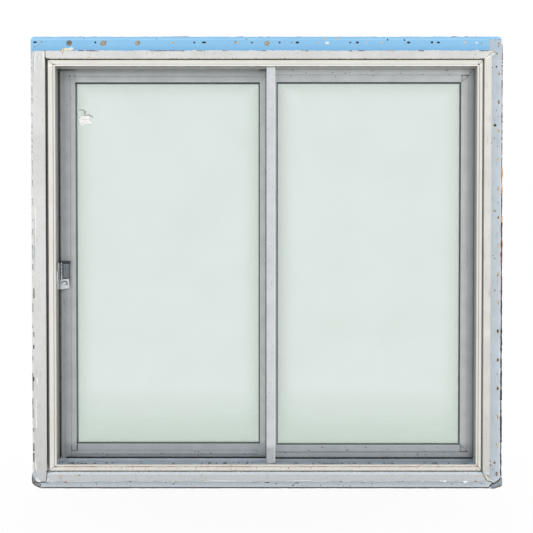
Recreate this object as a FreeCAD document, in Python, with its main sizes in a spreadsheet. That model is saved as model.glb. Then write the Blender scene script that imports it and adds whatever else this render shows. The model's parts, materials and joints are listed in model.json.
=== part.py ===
import FreeCAD
import Part
import Sketcher
import math
import os
import re

# Horizontal sliding window, about 4 ft wide, seen from outside: X runs right, Y runs into the
# building and Z runs up. The origin is the middle of the back face of the sill's nailing fin.
# All lengths are millimetres.

doc = FreeCAD.newDocument("sliding_window")

SIZES = {
    # Daylight opening inside the four raised lips
    "opening_width": 1108.4,
    "opening_height": 1049.6,
    # Depths behind the front face
    "groove_depth": 14.0,
    "ridge_depth": 33.0,
    "fin_setback": 25.0,
    "fin_thickness": 2.0,
    "wall": 2.0,
    # Hairline left open at each mitre and butt joint, and fine line beside each stepped face
    "joint_gap": 0.4,
    "line_width": 1.4,
    "line_depth": 1.0,
    # Waste that the end cuts take off beyond a member, and beside it
    "cutter_run": 200.0,
    "cutter_margin": 5.0,
    # Raised ridge round the opening, its fine groove and its inner lip
    "ridge_left": 18.7,
    "ridge_right": 13.7,
    "ridge_head": 15.8,
    "ridge_sill": 16.5,
    "ridge_lip": 4.2,
    "ridge_lip_head": 2.9,
    "fine_groove": 2.2,
    "fine_groove_depth": 1.5,
    "ridge_ease": 1.5,
    "edge_ease": 0.8,
    # Open accessory groove between the ridge and the outer face
    "groove_left": 7.4,
    "groove_right": 5.0,
    "groove_head": 4.2,
    "groove_sill": 4.4,
    # Shoulder of the frame outside the groove, and the wide cover strip on the left
    "shoulder_left": 12.0,
    "shoulder_right": 18.4,
    "shoulder_head": 19.5,
    "shoulder_sill": 22.8,
    "cover_left": 33.5,
    "cover_ease": 1.6,
    "cover_end_radius": 11.0,
    "casing_end_chamfer": 4.0,
    "casing_end_gap": 1.2,
    # Nailing fins, their slots and nail holes
    "fin_reach_left": 33.0,
    "fin_reach_right": 35.2,
    "fin_reach_head": 44.0,
    "fin_reach_sill": 24.0,
    "fin_ease": 1.0,
    "fin_corner_radius": 11.0,
    "fin_low_left_radius": 18.0,
    "slot_pitch": 76.2,
    "slot_long": 11.0,
    "slot_wide": 5.2,
    "head_slot_inset": 16.4,
    "jamb_slot_inset": 9.0,
    "jamb_slot_start": 52.6,
    "nail_hole": 3.2,
    "nail_every": 3,
    # Pocket behind the ridge, in which the panels stand, and the leg that closes it indoors
    "rebate": 12.0,
    "room_leg": 3.0,
    "room_gap": 3.0,
    "seat_gap": 0.3,
    # Raised rail on the sill in front of the sash
    "sill_rail_front": 35.0,
    "sill_rail_back": 51.0,
    "sill_rail_rise": 8.0,
    # Guide ribs in the head and on the sill
    "rib_front": 62.0,
    "rib_thickness": 3.0,
    "rib_foot": 13.0,
    "rib_foot_height": 2.0,
    "head_rib_end": 2.0,
    # Fixed light
    "fixed_front": 35.0,
    "fixed_back": 51.0,
    "fixed_face": 33.4,
    "fixed_step": 15.5,
    "fixed_sill_step": 13.9,
    "fixed_step_depth": 1.2,
    "fixed_sill_face": 32.2,
    "fixed_foot": 4.0,
    "fixed_foot_inset": 3.0,
    "fixed_glass_front": 39.0,
    # Mullion bar between the lights
    "mullion_left": 0.6,
    "mullion_width": 23.5,
    "mullion_front": 8.0,
    "mullion_ease": 1.0,
    "bead_width": 3.5,
    # Glazing shared by both lights
    "pane": 3.0,
    "pane_gap": 4.0,
    "glass_bite": 8.0,
    "glass_fit": 0.2,
    "gasket_show": 3.4,
    # Sliding sash
    "sash_front": 53.0,
    "sash_back": 74.0,
    "sash_step_depth": 1.2,
    "sash_glass_front": 58.0,
    "lock_stile_gap": 0.5,
    "lock_stile_face": 39.2,
    "lock_stile_step": 26.5,
    "tongue_reach": 8.0,
    "tongue_front": 58.0,
    "tongue_back": 70.0,
    "meeting_left": 17.2,
    "meeting_width": 34.0,
    "meeting_step": 20.8,
    "sash_head_cover": 1.1,
    "sash_head_face": 30.8,
    "sash_head_step": 16.2,
    "sash_head_channel": 3.1,
    "sash_sill_lift": 7.6,
    "sash_sill_face": 35.6,
    "sash_sill_step": 18.9,
    "sash_sill_line": 5.9,
    "sash_foot": 2.0,
    "channel_front": 58.0,
    "channel_back": 69.0,
    "channel_height": 20.0,
    # Sash rollers
    "roller_radius": 9.0,
    "roller_width": 6.0,
    "axle_radius": 2.5,
    "roller_inset": 95.0,
    # Latch on the lock stile and its keeper on the jamb
    "latch_width": 21.0,
    "latch_side_gap": 2.4,
    "latch_height": 44.5,
    "latch_drop": 36.5,
    "latch_thickness": 9.0,
    "latch_rib": 2.0,
    "latch_rib_pitch": 4.0,
    "latch_rib_rise": 1.2,
    "latch_ribs": 5,
    "thumb_width": 19.4,
    "thumb_height": 26.5,
    "thumb_thickness": 12.5,
    "thumb_radius": 3.5,
    "thumb_slant": 3.0,
    "thumb_recess": 7.0,
    "thumb_recess_depth": 1.0,
    "latch_corner": 2.5,
    "keeper_thickness": 1.5,
    "keeper_height": 70.0,
    "keeper_drop": 62.0,
    "keeper_front": 12.0,
    "keeper_back": 46.0,
}

sheet = doc.addObject("Spreadsheet::Sheet", "Sizes")
for row, (size_name, size_value) in enumerate(SIZES.items(), start=1):
    sheet.set("A%d" % row, size_name)
    sheet.set("B%d" % row, str(size_value))
    sheet.setAlias("B%d" % row, size_name)
doc.recompute()


# Expressions are written with the plain names of the sizes
def linked(text):
    def cell(match):
        word = match.group(0)
        return "Sizes." + word if word in SIZES else word

    return re.sub(r"[a-z_]+", cell, text)


def bind(target, field, text):
    target.setExpression(field, linked(text))


# Outward distance from the lip of one side to the end of each layer
def ridge(side):
    return "ridge_%s" % side


def groove(side):
    return "(ridge_%s + groove_%s)" % (side, side)


def body_edge(side):
    return "(ridge_%s + groove_%s + shoulder_%s)" % (side, side, side)


def cover_edge(side):
    if side == "left":
        return "(ridge_left + groove_left + cover_left)"
    return body_edge(side)


FRONT_Y = "(-fin_setback - fin_thickness)"
FRAME_DEPTH = "(sash_back + room_gap + room_leg)"
SILL_LIP = "(fin_reach_sill / 2 + %s)" % body_edge("sill")
HEAD_LIP = "(%s + opening_height)" % SILL_LIP
MIDDLE = "(%s + opening_height / 2)" % SILL_LIP
LEFT_LIP = "(-opening_width / 2)"
RIGHT_LIP = "(opening_width / 2)"
MULLION_RIGHT = "(mullion_left + mullion_width)"
GLASS_DEPTH = "(2 * pane + pane_gap)"

# A side's own axes: X points outward from the lip, Y into the building, Z along the side.
# Each side has its lip's place, its turn about Y, its run, and its neighbours at +Z and -Z.
PLACES = {
    "right": (RIGHT_LIP, MIDDLE, 0, "opening_height", "head", "sill"),
    "head": ("0", HEAD_LIP, -90, "opening_width", "left", "right"),
    "left": (LEFT_LIP, MIDDLE, 180, "opening_height", "sill", "head"),
    "sill": ("0", SILL_LIP, 90, "opening_width", "right", "left"),
}
SIDES = ("head", "sill", "left", "right")
MARGIN = "cutter_margin"

nodes = {}


def keep(name, target):
    target.Label = name
    nodes[name] = target
    return target


# Turns a piece about Y and puts its origin at x and z, at a depth behind the front face
def place(target, x, z, turn=0, depth="0"):
    axis = FreeCAD.Vector(0, 1, 0)
    target.Placement = FreeCAD.Placement(FreeCAD.Vector(), FreeCAD.Rotation(axis, turn))
    bind(target, "Placement.Base.x", x)
    bind(target, "Placement.Base.y", "%s + %s" % (FRONT_Y, depth))
    bind(target, "Placement.Base.z", z)


def origin_plane(body, role):
    return [f for f in body.Origin.OriginFeatures if f.Role == role][0]


def new_sketch(body, role, title):
    sketch = body.newObject("Sketcher::SketchObject", title)
    sketch.AttachmentSupport = [(origin_plane(body, role), "")]
    sketch.MapMode = "FlatFace"
    return sketch


# Fixes a point of a sketch's geometry at an expression for each coordinate
def pin(sketch, geometry, point, x, y, near=(1.0, 1.0)):
    for kind, text, value in (("DistanceX", x, near[0]), ("DistanceY", y, near[1])):
        if text is None:
            continue
        number = sketch.addConstraint(Sketcher.Constraint(kind, -1, 1, geometry, point, value))
        bind(sketch, "Constraints[%d]" % number, text)


# Adds a closed outline of straight lines to a sketch
def outline(sketch, corners):
    count = len(corners)
    first = sketch.GeometryCount
    ring = []
    for i in range(count):
        angle = 2 * math.pi * i / count
        ring.append(FreeCAD.Vector(math.cos(angle), math.sin(angle), 0))
    for i in range(count):
        sketch.addGeometry(Part.LineSegment(ring[i], ring[(i + 1) % count]), False)
    for i in range(count):
        following = first + (i + 1) % count
        sketch.addConstraint(Sketcher.Constraint("Coincident", first + i, 2, following, 1))
    for i, (x, y) in enumerate(corners):
        pin(sketch, first + i, 1, x, y)


# Moves a sketch's own origin on its plane
def shift(sketch, x, y):
    bind(sketch, "AttachmentOffset.Base.x", x)
    bind(sketch, "AttachmentOffset.Base.y", y)


# Adds a slot with round ends about the sketch's origin, long in Y
def slot(sketch):
    radius = SIZES["slot_wide"] / 2
    rise = SIZES["slot_long"] / 2 - radius
    top = "(slot_long - slot_wide) / 2"
    bottom = "(slot_wide - slot_long) / 2"
    vector = FreeCAD.Vector
    axis = vector(0, 0, 1)
    upper = Part.Circle(vector(0, rise, 0), axis, radius)
    lower = Part.Circle(vector(0, -rise, 0), axis, radius)
    sketch.addGeometry(Part.ArcOfCircle(upper, 0, math.pi), False)
    sketch.addGeometry(Part.LineSegment(vector(-radius, rise, 0), vector(-radius, -rise, 0)), False)
    sketch.addGeometry(Part.ArcOfCircle(lower, math.pi, 2 * math.pi), False)
    sketch.addGeometry(Part.LineSegment(vector(radius, -rise, 0), vector(radius, rise, 0)), False)
    for first, following in ((0, 1), (1, 2), (2, 3), (3, 0)):
        sketch.addConstraint(Sketcher.Constraint("Coincident", first, 2, following, 1))
    pin(sketch, 1, 1, "-slot_wide / 2", top, (-radius, rise))
    pin(sketch, 1, 2, "-slot_wide / 2", bottom, (-radius, -rise))
    pin(sketch, 3, 1, "slot_wide / 2", bottom, (radius, -rise))
    pin(sketch, 3, 2, "slot_wide / 2", top, (radius, rise))
    pin(sketch, 0, 3, None, top, (0, rise))
    pin(sketch, 2, 3, None, bottom, (0, -rise))


def pad(body, sketch, length):
    feature = body.newObject("PartDesign::Pad", "Pad")
    feature.Profile = sketch
    feature.Midplane = True
    bind(feature, "Length", length)
    sketch.Visibility = False
    return feature


def cut_through(body, sketch):
    feature = body.newObject("PartDesign::Pocket", "Cut")
    feature.Profile = sketch
    feature.Midplane = True
    feature.Type = "ThroughAll"
    return feature


# A straight extrusion along its own Z, with its ends trimmed seen from the front
def extrusion(name, loops, length, end_cuts):
    body = doc.addObject("PartDesign::Body", name)
    section = new_sketch(body, "XY_Plane", "Section")
    for loop in loops:
        outline(section, loop)
    pad(body, section, length)
    if end_cuts:
        trims = new_sketch(body, "XZ_Plane", "Ends")
        for loop in end_cuts:
            outline(trims, loop)
        cut_through(body, trims)
    return keep(name, body)


# Waste past one end of the side, beyond a line through points given as u, n, u, n and so on,
# where u is the distance outward from the lip and n the distance past the opening's corner
def end_waste(run, sign, *line):
    def at(n):
        return "%s(%s / 2 + %s)" % (sign, run, n)

    points = [(u, at(n)) for u, n in zip(line[0::2], line[1::2])]
    near = "(%s - %s)" % (line[0], MARGIN)
    far = "(%s + %s)" % (line[-2], MARGIN)
    beyond = at("cutter_run")
    corners = [(near, points[0][1])] + points + [(far, points[-1][1])]
    return corners + [(far, beyond), (near, beyond)]


# A member of one side, with each end cut along its own line
def member(name, side, loops, plus_end, minus_end):
    x, z, turn, run, _, _ = PLACES[side]
    cuts = [end_waste(run, "", *plus_end), end_waste(run, "-", *minus_end)]
    body = extrusion(name, loops, "%s + 2 * cutter_run" % run, cuts)
    place(body, x, z, turn)
    return body


def neighbours(side):
    return PLACES[side][4], PLACES[side][5]


# An end drawn back by half the hairline of its joint
def opened(n):
    return "(%s - joint_gap / 2)" % n


def box_loop(u_low, u_high, d_low, d_high):
    return [(u_low, d_low), (u_high, d_low), (u_high, d_high), (u_low, d_high)]


# A box section with its two front corners chamfered
def eased_loop(u_low, u_high, d_low, d_high, ease):
    eased = "(%s + %s)" % (d_low, ease)
    front = [("(%s + %s)" % (u_low, ease), d_low), ("(%s - %s)" % (u_high, ease), d_low)]
    return front + [(u_high, eased), (u_high, d_high), (u_low, d_high), (u_low, eased)]


# A flat plate seen from the front, from corners about its own x and z, with rounded corners.
# Each rounding is the number of a corner and the radius there.
def plate(name, corners, x, z, depth, thickness, rounded):
    body = doc.addObject("PartDesign::Body", name)
    face = new_sketch(body, "XZ_Plane", "Front")
    outline(face, corners)
    feature = pad(body, face, thickness)
    place(body, x, z, 0, "%s + %s / 2" % (depth, thickness))
    doc.recompute()
    points = [face.getPoint(number, 1) for number in range(len(corners))]
    for radius in sorted(set(radius for _, radius in rounded)):
        chosen = []
        wanted = [points[number] for number, at_corner in rounded if at_corner == radius]
        for number, edge in enumerate(feature.Shape.Edges, start=1):
            middle = edge.CenterOfMass
            if any(math.hypot(middle.x - p.x, middle.z - p.y) < 0.01 for p in wanted):
                chosen.append("Edge%d" % number)
        feature_base = feature
        feature = body.newObject("PartDesign::Fillet", "Round")
        feature.Base = (feature_base, chosen)
        bind(feature, "Radius", radius)
        doc.recompute()
    return body


def block(name, x, y, z, length, width, height):
    box = doc.addObject("Part::Box", name)
    bind(box, "Length", length)
    bind(box, "Width", width)
    bind(box, "Height", height)
    place(box, x, z, 0, y)
    return box


# Frame: a hollow extrusion on each side, mitred, behind the ridge and the outer face
def frame_member(name, side):
    edge = body_edge(side)
    shape = [
        (ridge(side), "groove_depth"),
        (edge, "groove_depth"),
        (edge, FRAME_DEPTH),
        ("rebate", FRAME_DEPTH),
        ("rebate", "ridge_depth"),
        (ridge(side), "ridge_depth"),
    ]
    outer = "(%s - wall)" % edge
    back_room = box_loop("(rebate + wall)", outer, "(ridge_depth + wall)", "(%s - wall)" % FRAME_DEPTH)
    front_room = box_loop("(%s + wall)" % ridge(side), outer, "(groove_depth + wall)", "ridge_depth")
    ends = [("rebate", "rebate", edge, body_edge(other)) for other in neighbours(side)]
    member(name, side, [shape, back_room, front_room], *ends)


# Leg that closes the frame's pocket on the room side, mitred
def room_leg_member(name, side):
    shape = box_loop("0", "rebate", "(%s - room_leg)" % FRAME_DEPTH, FRAME_DEPTH)
    mitre = ("0", "0", "rebate", "rebate")
    member(name, side, [shape], mitre, mitre)


# Raised ridge: a hollow box with eased edges and a fine groove beside its lip
def ridge_member(name, side):
    top = ridge(side)
    lip = "ridge_lip_head" if side == "head" else "ridge_lip"
    groove_end = "(%s + fine_groove)" % lip
    shape = [
        ("0", "edge_ease"),
        ("edge_ease", "0"),
        (lip, "0"),
        (lip, "fine_groove_depth"),
        (groove_end, "fine_groove_depth"),
        (groove_end, "0"),
        ("(%s - ridge_ease)" % top, "0"),
        (top, "ridge_ease"),
        (top, "ridge_depth"),
        ("0", "ridge_depth"),
    ]
    room = box_loop("wall", "(%s - wall)" % top, "(fine_groove_depth + wall)", "(ridge_depth - wall)")
    ends = [("0", opened("0"), top, opened(ridge(other))) for other in neighbours(side)]
    member(name, side, [shape, room], *ends)


# Outer face: a shallow box on the frame's shoulder, with eased edges. The left one is a wide cover
# strip with a leg back to the fin and rounded corners, and the head's and the sill's butt against
# it with a chamfered corner.
def casing_member(name, side):
    inner = groove(side)
    outer = cover_edge(side)
    if side == "left":
        shape = [
            (inner, "edge_ease"),
            ("(%s + edge_ease)" % inner, "0"),
            ("(%s - cover_ease)" % outer, "0"),
            (outer, "cover_ease"),
            (outer, "fin_setback"),
            ("(%s - wall)" % outer, "fin_setback"),
            ("(%s - wall)" % outer, "groove_depth"),
            (inner, "groove_depth"),
        ]
    else:
        shape = eased_loop(inner, outer, "0", "groove_depth", "edge_ease")
    room = box_loop("(%s + wall)" % inner, "(%s - wall)" % outer, "wall", "(groove_depth - wall)")
    ends = []
    for other in neighbours(side):
        if side == "left":
            ends.append([inner, body_edge(other)] + rounded_end(outer, body_edge(other)))
        elif other == "left":
            start = "(%s - casing_end_gap)" % groove("left")
            chamfered = "(%s - casing_end_chamfer)" % start
            ends.append((inner, chamfered, "(%s + casing_end_chamfer)" % inner, start, outer, start))
        else:
            ends.append((inner, opened(groove(other)), outer, opened(cover_edge(other))))
    member(name, side, [shape, room], *ends)


# Points of a rounded corner between the end at n and the side's outer edge
def rounded_end(outer, n):
    points = []
    for angle in (90, 60, 30, 0):
        points.append("(%s - cover_end_radius * (1 - cos(%d)))" % (outer, angle))
        points.append("(%s - cover_end_radius * (1 - sin(%d)))" % (n, angle))
    return points


# Several solids that don't touch, kept as one sub-part
def group(name, pieces):
    together = doc.addObject("Part::Compound", name)
    together.Links = pieces
    return keep(name, together)


# Nailing fin on one side, between the corner plates. The right one runs down to a diagonal cut
# across its lower corner.
def fin_member(name, side, slotted):
    inner = body_edge(side)
    outer = "(%s + fin_reach_%s)" % (inner, side)
    fin_back = "(fin_setback + fin_thickness)"
    shape = [
        (inner, "fin_setback"),
        ("(%s - fin_ease)" % outer, "fin_setback"),
        (outer, "(fin_setback + fin_ease)"),
        (outer, fin_back),
        (inner, fin_back),
    ]
    ends = []
    for other in neighbours(side):
        end = body_edge(other)
        if side == "right" and other == "sill":
            ends.append((inner, "(%s + fin_reach_sill)" % end, outer, end))
        else:
            ends.append((inner, end, outer, end))
    body = member(name, side, [shape], *ends)
    if not slotted:
        return
    run = PLACES[side][3]
    plus, minus = neighbours(side)
    if side == "head":
        span = "(%s + %s + %s)" % (run, body_edge(plus), body_edge(minus))
        slots = "(floor(%s / slot_pitch) + 1)" % span
        start = "((%s - 1) / 2 * slot_pitch)" % slots
        across = "(%s - head_slot_inset)" % outer
    else:
        span = "(%s + %s + %s - jamb_slot_start)" % (run, body_edge(plus), body_edge(minus))
        slots = "(floor(%s / slot_pitch) + 1)" % span
        start = "(%s / 2 + %s - jamb_slot_start)" % (run, body_edge("head"))
        across = "(%s - jamb_slot_inset)" % outer
    sign = "-" if side == "left" else ""
    marks = new_sketch(body, "XZ_Plane", "Slot")
    shift(marks, across, sign + start)
    slot(marks)
    repeat(body, cut_through(body, marks), marks, slots, "slot_pitch", side != "left")
    holes = new_sketch(body, "XZ_Plane", "NailHole")
    shift(holes, across, "%s(%s - nail_every / 2 * slot_pitch)" % (sign, start))
    nail_radius = SIZES["nail_hole"] / 2
    holes.addGeometry(Part.Circle(FreeCAD.Vector(), FreeCAD.Vector(0, 0, 1), nail_radius), False)
    holes.addConstraint(Sketcher.Constraint("Coincident", 0, 3, -1, 1))
    number = holes.addConstraint(Sketcher.Constraint("Diameter", 0, SIZES["nail_hole"]))
    bind(holes, "Constraints[%d]" % number, "nail_hole")
    nails = "floor((%s - 1) / nail_every)" % slots
    cut = cut_through(body, holes)
    repeat(body, cut, holes, nails, "nail_every * slot_pitch", side != "left")


# Repeats a cut along its own sketch's Y, or against it
def repeat(body, feature, sketch, count, pitch, backwards):
    pattern = body.newObject("PartDesign::LinearPattern", "Row")
    pattern.Originals = [feature]
    pattern.Direction = (sketch, ["V_Axis"])
    pattern.Reversed = backwards
    bind(pattern, "Length", "(%s - 1) * %s" % (count, pitch))
    bind(pattern, "Occurrences", count)
    body.Tip = pattern


# Corner plate between two fins, with its free corner rounded. The upper ones carry a slot each, in
# line with one row, and at the lower right the plate is only the half below the diagonal cut.
def fin_corner(name, upright, level):
    across = "fin_reach_%s" % upright
    high = "fin_reach_%s" % level
    side_edge = "(opening_width / 2 + %s)" % body_edge(upright)
    x = side_edge if upright == "right" else "(-%s)" % side_edge
    out = across if upright == "right" else "(-%s)" % across
    if level == "head":
        z = "(%s + %s)" % (HEAD_LIP, body_edge("head"))
        far = high
    else:
        z = "(fin_reach_sill / 2)"
        far = "(-%s)" % high
    corners = [(out, far), (out, "0"), ("0", "0"), ("0", far)]
    radius = "fin_corner_radius"
    if level == "sill" and upright == "right":
        corners.pop(2)
    if level == "sill" and upright == "left":
        radius = "fin_low_left_radius"
    body = plate(name, corners, x, z, "fin_setback", "fin_thickness", [(0, radius)])
    if level == "head":
        mark = new_sketch(body, "XZ_Plane", "Slot")
        if upright == "right":
            shift(mark, "(%s - jamb_slot_inset)" % across, "(slot_pitch - jamb_slot_start)")
        else:
            mark.AttachmentOffset.Rotation = FreeCAD.Rotation(FreeCAD.Vector(0, 0, 1), 90)
            shift(mark, "(jamb_slot_inset - %s)" % across, "(%s - head_slot_inset)" % high)
        slot(mark)
        cut_through(body, mark)
    return body


for side in SIDES:
    frame_member({"left": "jamb_left", "right": "jamb_right"}.get(side, "frame_" + side), side)
for side in SIDES:
    room_leg_member("room_leg_" + side, side)
for side in SIDES:
    ridge_member("ridge_" + side, side)
for side in SIDES:
    casing_member("casing_" + side, side)
fin_member("fin_head", "head", True)
fin_member("fin_sill", "sill", False)
fin_member("fin_left", "left", True)
fin_member("fin_right", "right", True)
for level, label in (("head", "top"), ("sill", "bottom")):
    plates = []
    for upright in ("left", "right"):
        plates.append(fin_corner("fin_corner_%s_%s" % (label, upright), upright, level))
    group("fin_corners_" + label, plates)


# Raised rail on the sill, a hollow box from the pocket's floor to above the lip
rail_outer = box_loop("(-sill_rail_rise)", "rebate", "sill_rail_front", "sill_rail_back")
rail_room = box_loop(
    "(wall - sill_rail_rise)", "(rebate - wall)", "(sill_rail_front + wall)", "(sill_rail_back - wall)"
)
flush = ("(-sill_rail_rise)", "0", "rebate", "0")
member("sill_rail", "sill", [rail_outer, rail_room], flush, flush)


# Guide ribs with a foot on the pocket's floor
def guide_rib(name, side, end):
    foot_front = "(rib_front + rib_thickness / 2 - rib_foot / 2)"
    foot_back = "(rib_front + rib_thickness / 2 + rib_foot / 2)"
    foot_top = "(rebate - rib_foot_height)"
    rib_back = "(rib_front + rib_thickness)"
    shape = [
        ("rebate", foot_front),
        ("rebate", foot_back),
        (foot_top, foot_back),
        (foot_top, rib_back),
        (end, rib_back),
        (end, "rib_front"),
        (foot_top, "rib_front"),
        (foot_top, foot_front),
    ]
    square = (end, "0", "rebate", "0")
    member(name, side, [shape], square, square)


guide_rib("head_guide", "head", "head_rib_end")
guide_rib("sill_track", "sill", "0")


# Glazed section: a stepped face with a fine line beside the step, a pocket for the glass and one
# closed room behind them
def glazed_loops(inner, step, outer, front, back, glass_front, step_depth):
    face = "(%s + %s)" % (front, step_depth)
    bite = "(%s + glass_bite)" % inner
    pocket_front = "(%s - glass_fit)" % glass_front
    pocket_back = "(%s + %s + glass_fit)" % (glass_front, GLASS_DEPTH)
    line = "(%s + line_width)" % step
    line_floor = "(%s + line_depth)" % face
    shape = [
        (outer, front),
        (line, front),
        (line, line_floor),
        (step, line_floor),
        (step, face),
        (inner, face),
        (inner, pocket_front),
        (bite, pocket_front),
        (bite, pocket_back),
        (inner, pocket_back),
        (inner, back),
        (outer, back),
    ]
    room = box_loop(
        "(%s + wall)" % bite, "(%s - wall)" % outer, "(%s + wall)" % face, "(%s - wall)" % back
    )
    return shape, room


# Fixed light: rails from the mullion, mitred to the right stile, standing in the pocket
pocket_reach = "(rebate - seat_gap)"
fixed_inner = "(-fixed_face)"
fixed_low_outer = "(-sill_rail_rise - fixed_foot)"
fixed_low_inner = "(%s - fixed_sill_face)" % fixed_low_outer
upper_line = (fixed_inner, opened(fixed_inner), pocket_reach, opened(pocket_reach))
lower_slope = "(fixed_sill_face / fixed_face)"
stile_low_end = "(%s + %s * (fixed_face + %s))" % (fixed_low_inner, lower_slope, pocket_reach)
foot_end = "(-sill_rail_rise - seat_gap)"
foot_reach = "((fixed_foot - seat_gap) / %s)" % lower_slope


def fixed_section(outer):
    step = "(-fixed_step)"
    return glazed_loops(
        fixed_inner, step, outer, "fixed_front", "fixed_back", "fixed_glass_front", "fixed_step_depth"
    )


at_mullion = "(-opening_width / 2 + %s)" % ("-" + MULLION_RIGHT)
member(
    "fixed_stile_right",
    "right",
    fixed_section(pocket_reach),
    upper_line,
    (fixed_inner, opened(fixed_low_inner), pocket_reach, opened(stile_low_end)),
)
member(
    "fixed_rail_top",
    "head",
    fixed_section(pocket_reach),
    (fixed_inner, at_mullion, pocket_reach, at_mullion),
    upper_line,
)
low_shape, low_room = glazed_loops(
    fixed_low_inner,
    "(%s - fixed_sill_step)" % fixed_low_outer,
    fixed_low_outer,
    "fixed_front",
    "fixed_back",
    "fixed_glass_front",
    "fixed_step_depth",
)
foot_front = "(fixed_front + fixed_foot_inset)"
foot_back = "(fixed_back - fixed_foot_inset)"
low_shape += [
    (fixed_low_outer, foot_back),
    (foot_end, foot_back),
    (foot_end, foot_front),
    (fixed_low_outer, foot_front),
]
member(
    "fixed_rail_bottom",
    "sill",
    [low_shape, low_room],
    (fixed_low_inner, opened(fixed_inner), foot_end, opened(foot_reach)),
    (fixed_low_inner, at_mullion, foot_end, at_mullion),
)

# Mullion bar between the head's and the sill's ridges, notched over the sill rail
mullion_depth = "(fixed_back - mullion_front)"
mullion = extrusion(
    "fixed_mullion",
    [
        eased_loop("0", "mullion_width", "mullion_front", "fixed_back", "mullion_ease"),
        box_loop("wall", "(mullion_width - wall)", "(mullion_front + wall)", "(fixed_back - wall)"),
    ],
    "opening_height",
    [],
)
notch = new_sketch(mullion, "YZ_Plane", "Notch")
notch_top = "(-opening_height / 2 + sill_rail_rise + seat_gap)"
notch_low = "(-opening_height / 2 - %s)" % MARGIN
notch_front = "(sill_rail_front - seat_gap)"
outline(
    notch,
    box_loop(notch_front, "(fixed_back + %s)" % MARGIN, notch_low, notch_top),
)
cut_through(mullion, notch)
place(mullion, "mullion_left", MIDDLE)

# Dark glazing channel on the mullion's right side
channel_front_leg = "(fixed_front + fixed_step_depth)"
glass_slot_front = "(fixed_glass_front - glass_fit)"
glass_slot_back = "(fixed_glass_front + %s + glass_fit)" % GLASS_DEPTH
fixed_low_edge = "(opening_height / 2 + %s)" % fixed_low_inner
fixed_top_edge = "(opening_height / 2 - fixed_face)"
bead = extrusion(
    "fixed_bead_left",
    [
        [
            ("0", channel_front_leg),
            ("bead_width", channel_front_leg),
            ("bead_width", glass_slot_front),
            ("wall", glass_slot_front),
            ("wall", glass_slot_back),
            ("bead_width", glass_slot_back),
            ("bead_width", "fixed_back"),
            ("0", "fixed_back"),
        ]
    ],
    "2 * opening_height",
    [
        box_loop("(-%s)" % MARGIN, "(bead_width + %s)" % MARGIN, fixed_top_edge, "(2 * opening_height)"),
        box_loop(
            "(-%s)" % MARGIN, "(bead_width + %s)" % MARGIN, "(-2 * opening_height)", "(-%s)" % fixed_low_edge
        ),
    ],
)
place(bead, MULLION_RIGHT, MIDDLE)


# Two panes of glass with a spacer between them, inside a light's pocket. The spacer may be
# narrower on the left, where a bead bites less.
def glazing(prefix, left, right, low, high, front, left_spacer="(glass_bite + pane)"):
    width = "(%s - %s)" % (right, left)
    height = "(%s - %s)" % (high, low)
    back_pane = "(%s + pane + pane_gap)" % front
    spacer_depth = "(%s + pane)" % front
    outer = block(prefix + "_glass_outer", left, front, low, width, "pane", height)
    inner = block(prefix + "_glass_inner", left, back_pane, low, width, "pane", height)
    group(prefix + "_glass", [outer, inner])
    width = "(glass_bite + pane)"
    ring(prefix + "_spacer", left, right, low, high, spacer_depth, "pane_gap", width, left_spacer)


# A rectangular ring seen from the front, of one width but for its left side
def ring(name, left, right, low, high, depth, thickness, width, left_width):
    solid = block(
        name + "_plate", left, depth, low, "%s - %s" % (right, left), thickness, "%s - %s" % (high, low)
    )
    hole = block(
        name + "_hole",
        "%s + %s" % (left, left_width),
        "%s - %s" % (depth, MARGIN),
        "%s + %s" % (low, width),
        "%s - %s - %s - %s" % (right, left, width, left_width),
        "%s + 2 * %s" % (thickness, MARGIN),
        "%s - %s - 2 * %s" % (high, low, width),
    )
    cut = doc.addObject("Part::Cut", name)
    cut.Base = solid
    cut.Tool = hole
    keep(name, cut)


inset = "(glass_bite - seat_gap)"
glazing(
    "fixed",
    "(%s + wall + seat_gap)" % MULLION_RIGHT,
    "(%s - fixed_face + %s)" % (RIGHT_LIP, inset),
    "(%s - %s - %s)" % (SILL_LIP, fixed_low_inner, inset),
    "(%s - fixed_face + %s)" % (HEAD_LIP, inset),
    "fixed_glass_front",
    "(bead_width + gasket_show - wall - seat_gap)",
)
ring(
    "fixed_gasket",
    "(%s + bead_width)" % MULLION_RIGHT,
    "(%s - fixed_face)" % RIGHT_LIP,
    "(%s - %s)" % (SILL_LIP, fixed_low_inner),
    "(%s - fixed_face)" % HEAD_LIP,
    "(fixed_front + 2 * fixed_step_depth)",
    "(fixed_glass_front - fixed_front - 2 * fixed_step_depth)",
    "gasket_show",
    "gasket_show",
)

# Sliding sash: the stiles run through and the rails butt between them
lock_outer = "(-lock_stile_gap)"
lock_inner = "(-lock_stile_gap - lock_stile_face)"
lock_step = "(-lock_stile_gap - lock_stile_step)"
SASH_LEFT = "(%s + lock_stile_gap + lock_stile_face)" % LEFT_LIP
SASH_RIGHT = "(-meeting_left)"
lock_shape, lock_room = glazed_loops(
    lock_inner, lock_step, lock_outer, "sash_front", "sash_back", "sash_glass_front", "sash_step_depth"
)
lock_shape += [
    (lock_outer, "tongue_back"),
    ("tongue_reach", "tongue_back"),
    ("tongue_reach", "tongue_front"),
    (lock_outer, "tongue_front"),
]
stile_top = (lock_inner, "sash_head_cover", "tongue_reach", "sash_head_cover")
stile_foot = (lock_inner, "(-sash_foot)", "tongue_reach", "(-sash_foot)")
member("sash_stile_lock", "left", [lock_shape, lock_room], stile_foot, stile_top)

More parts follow.
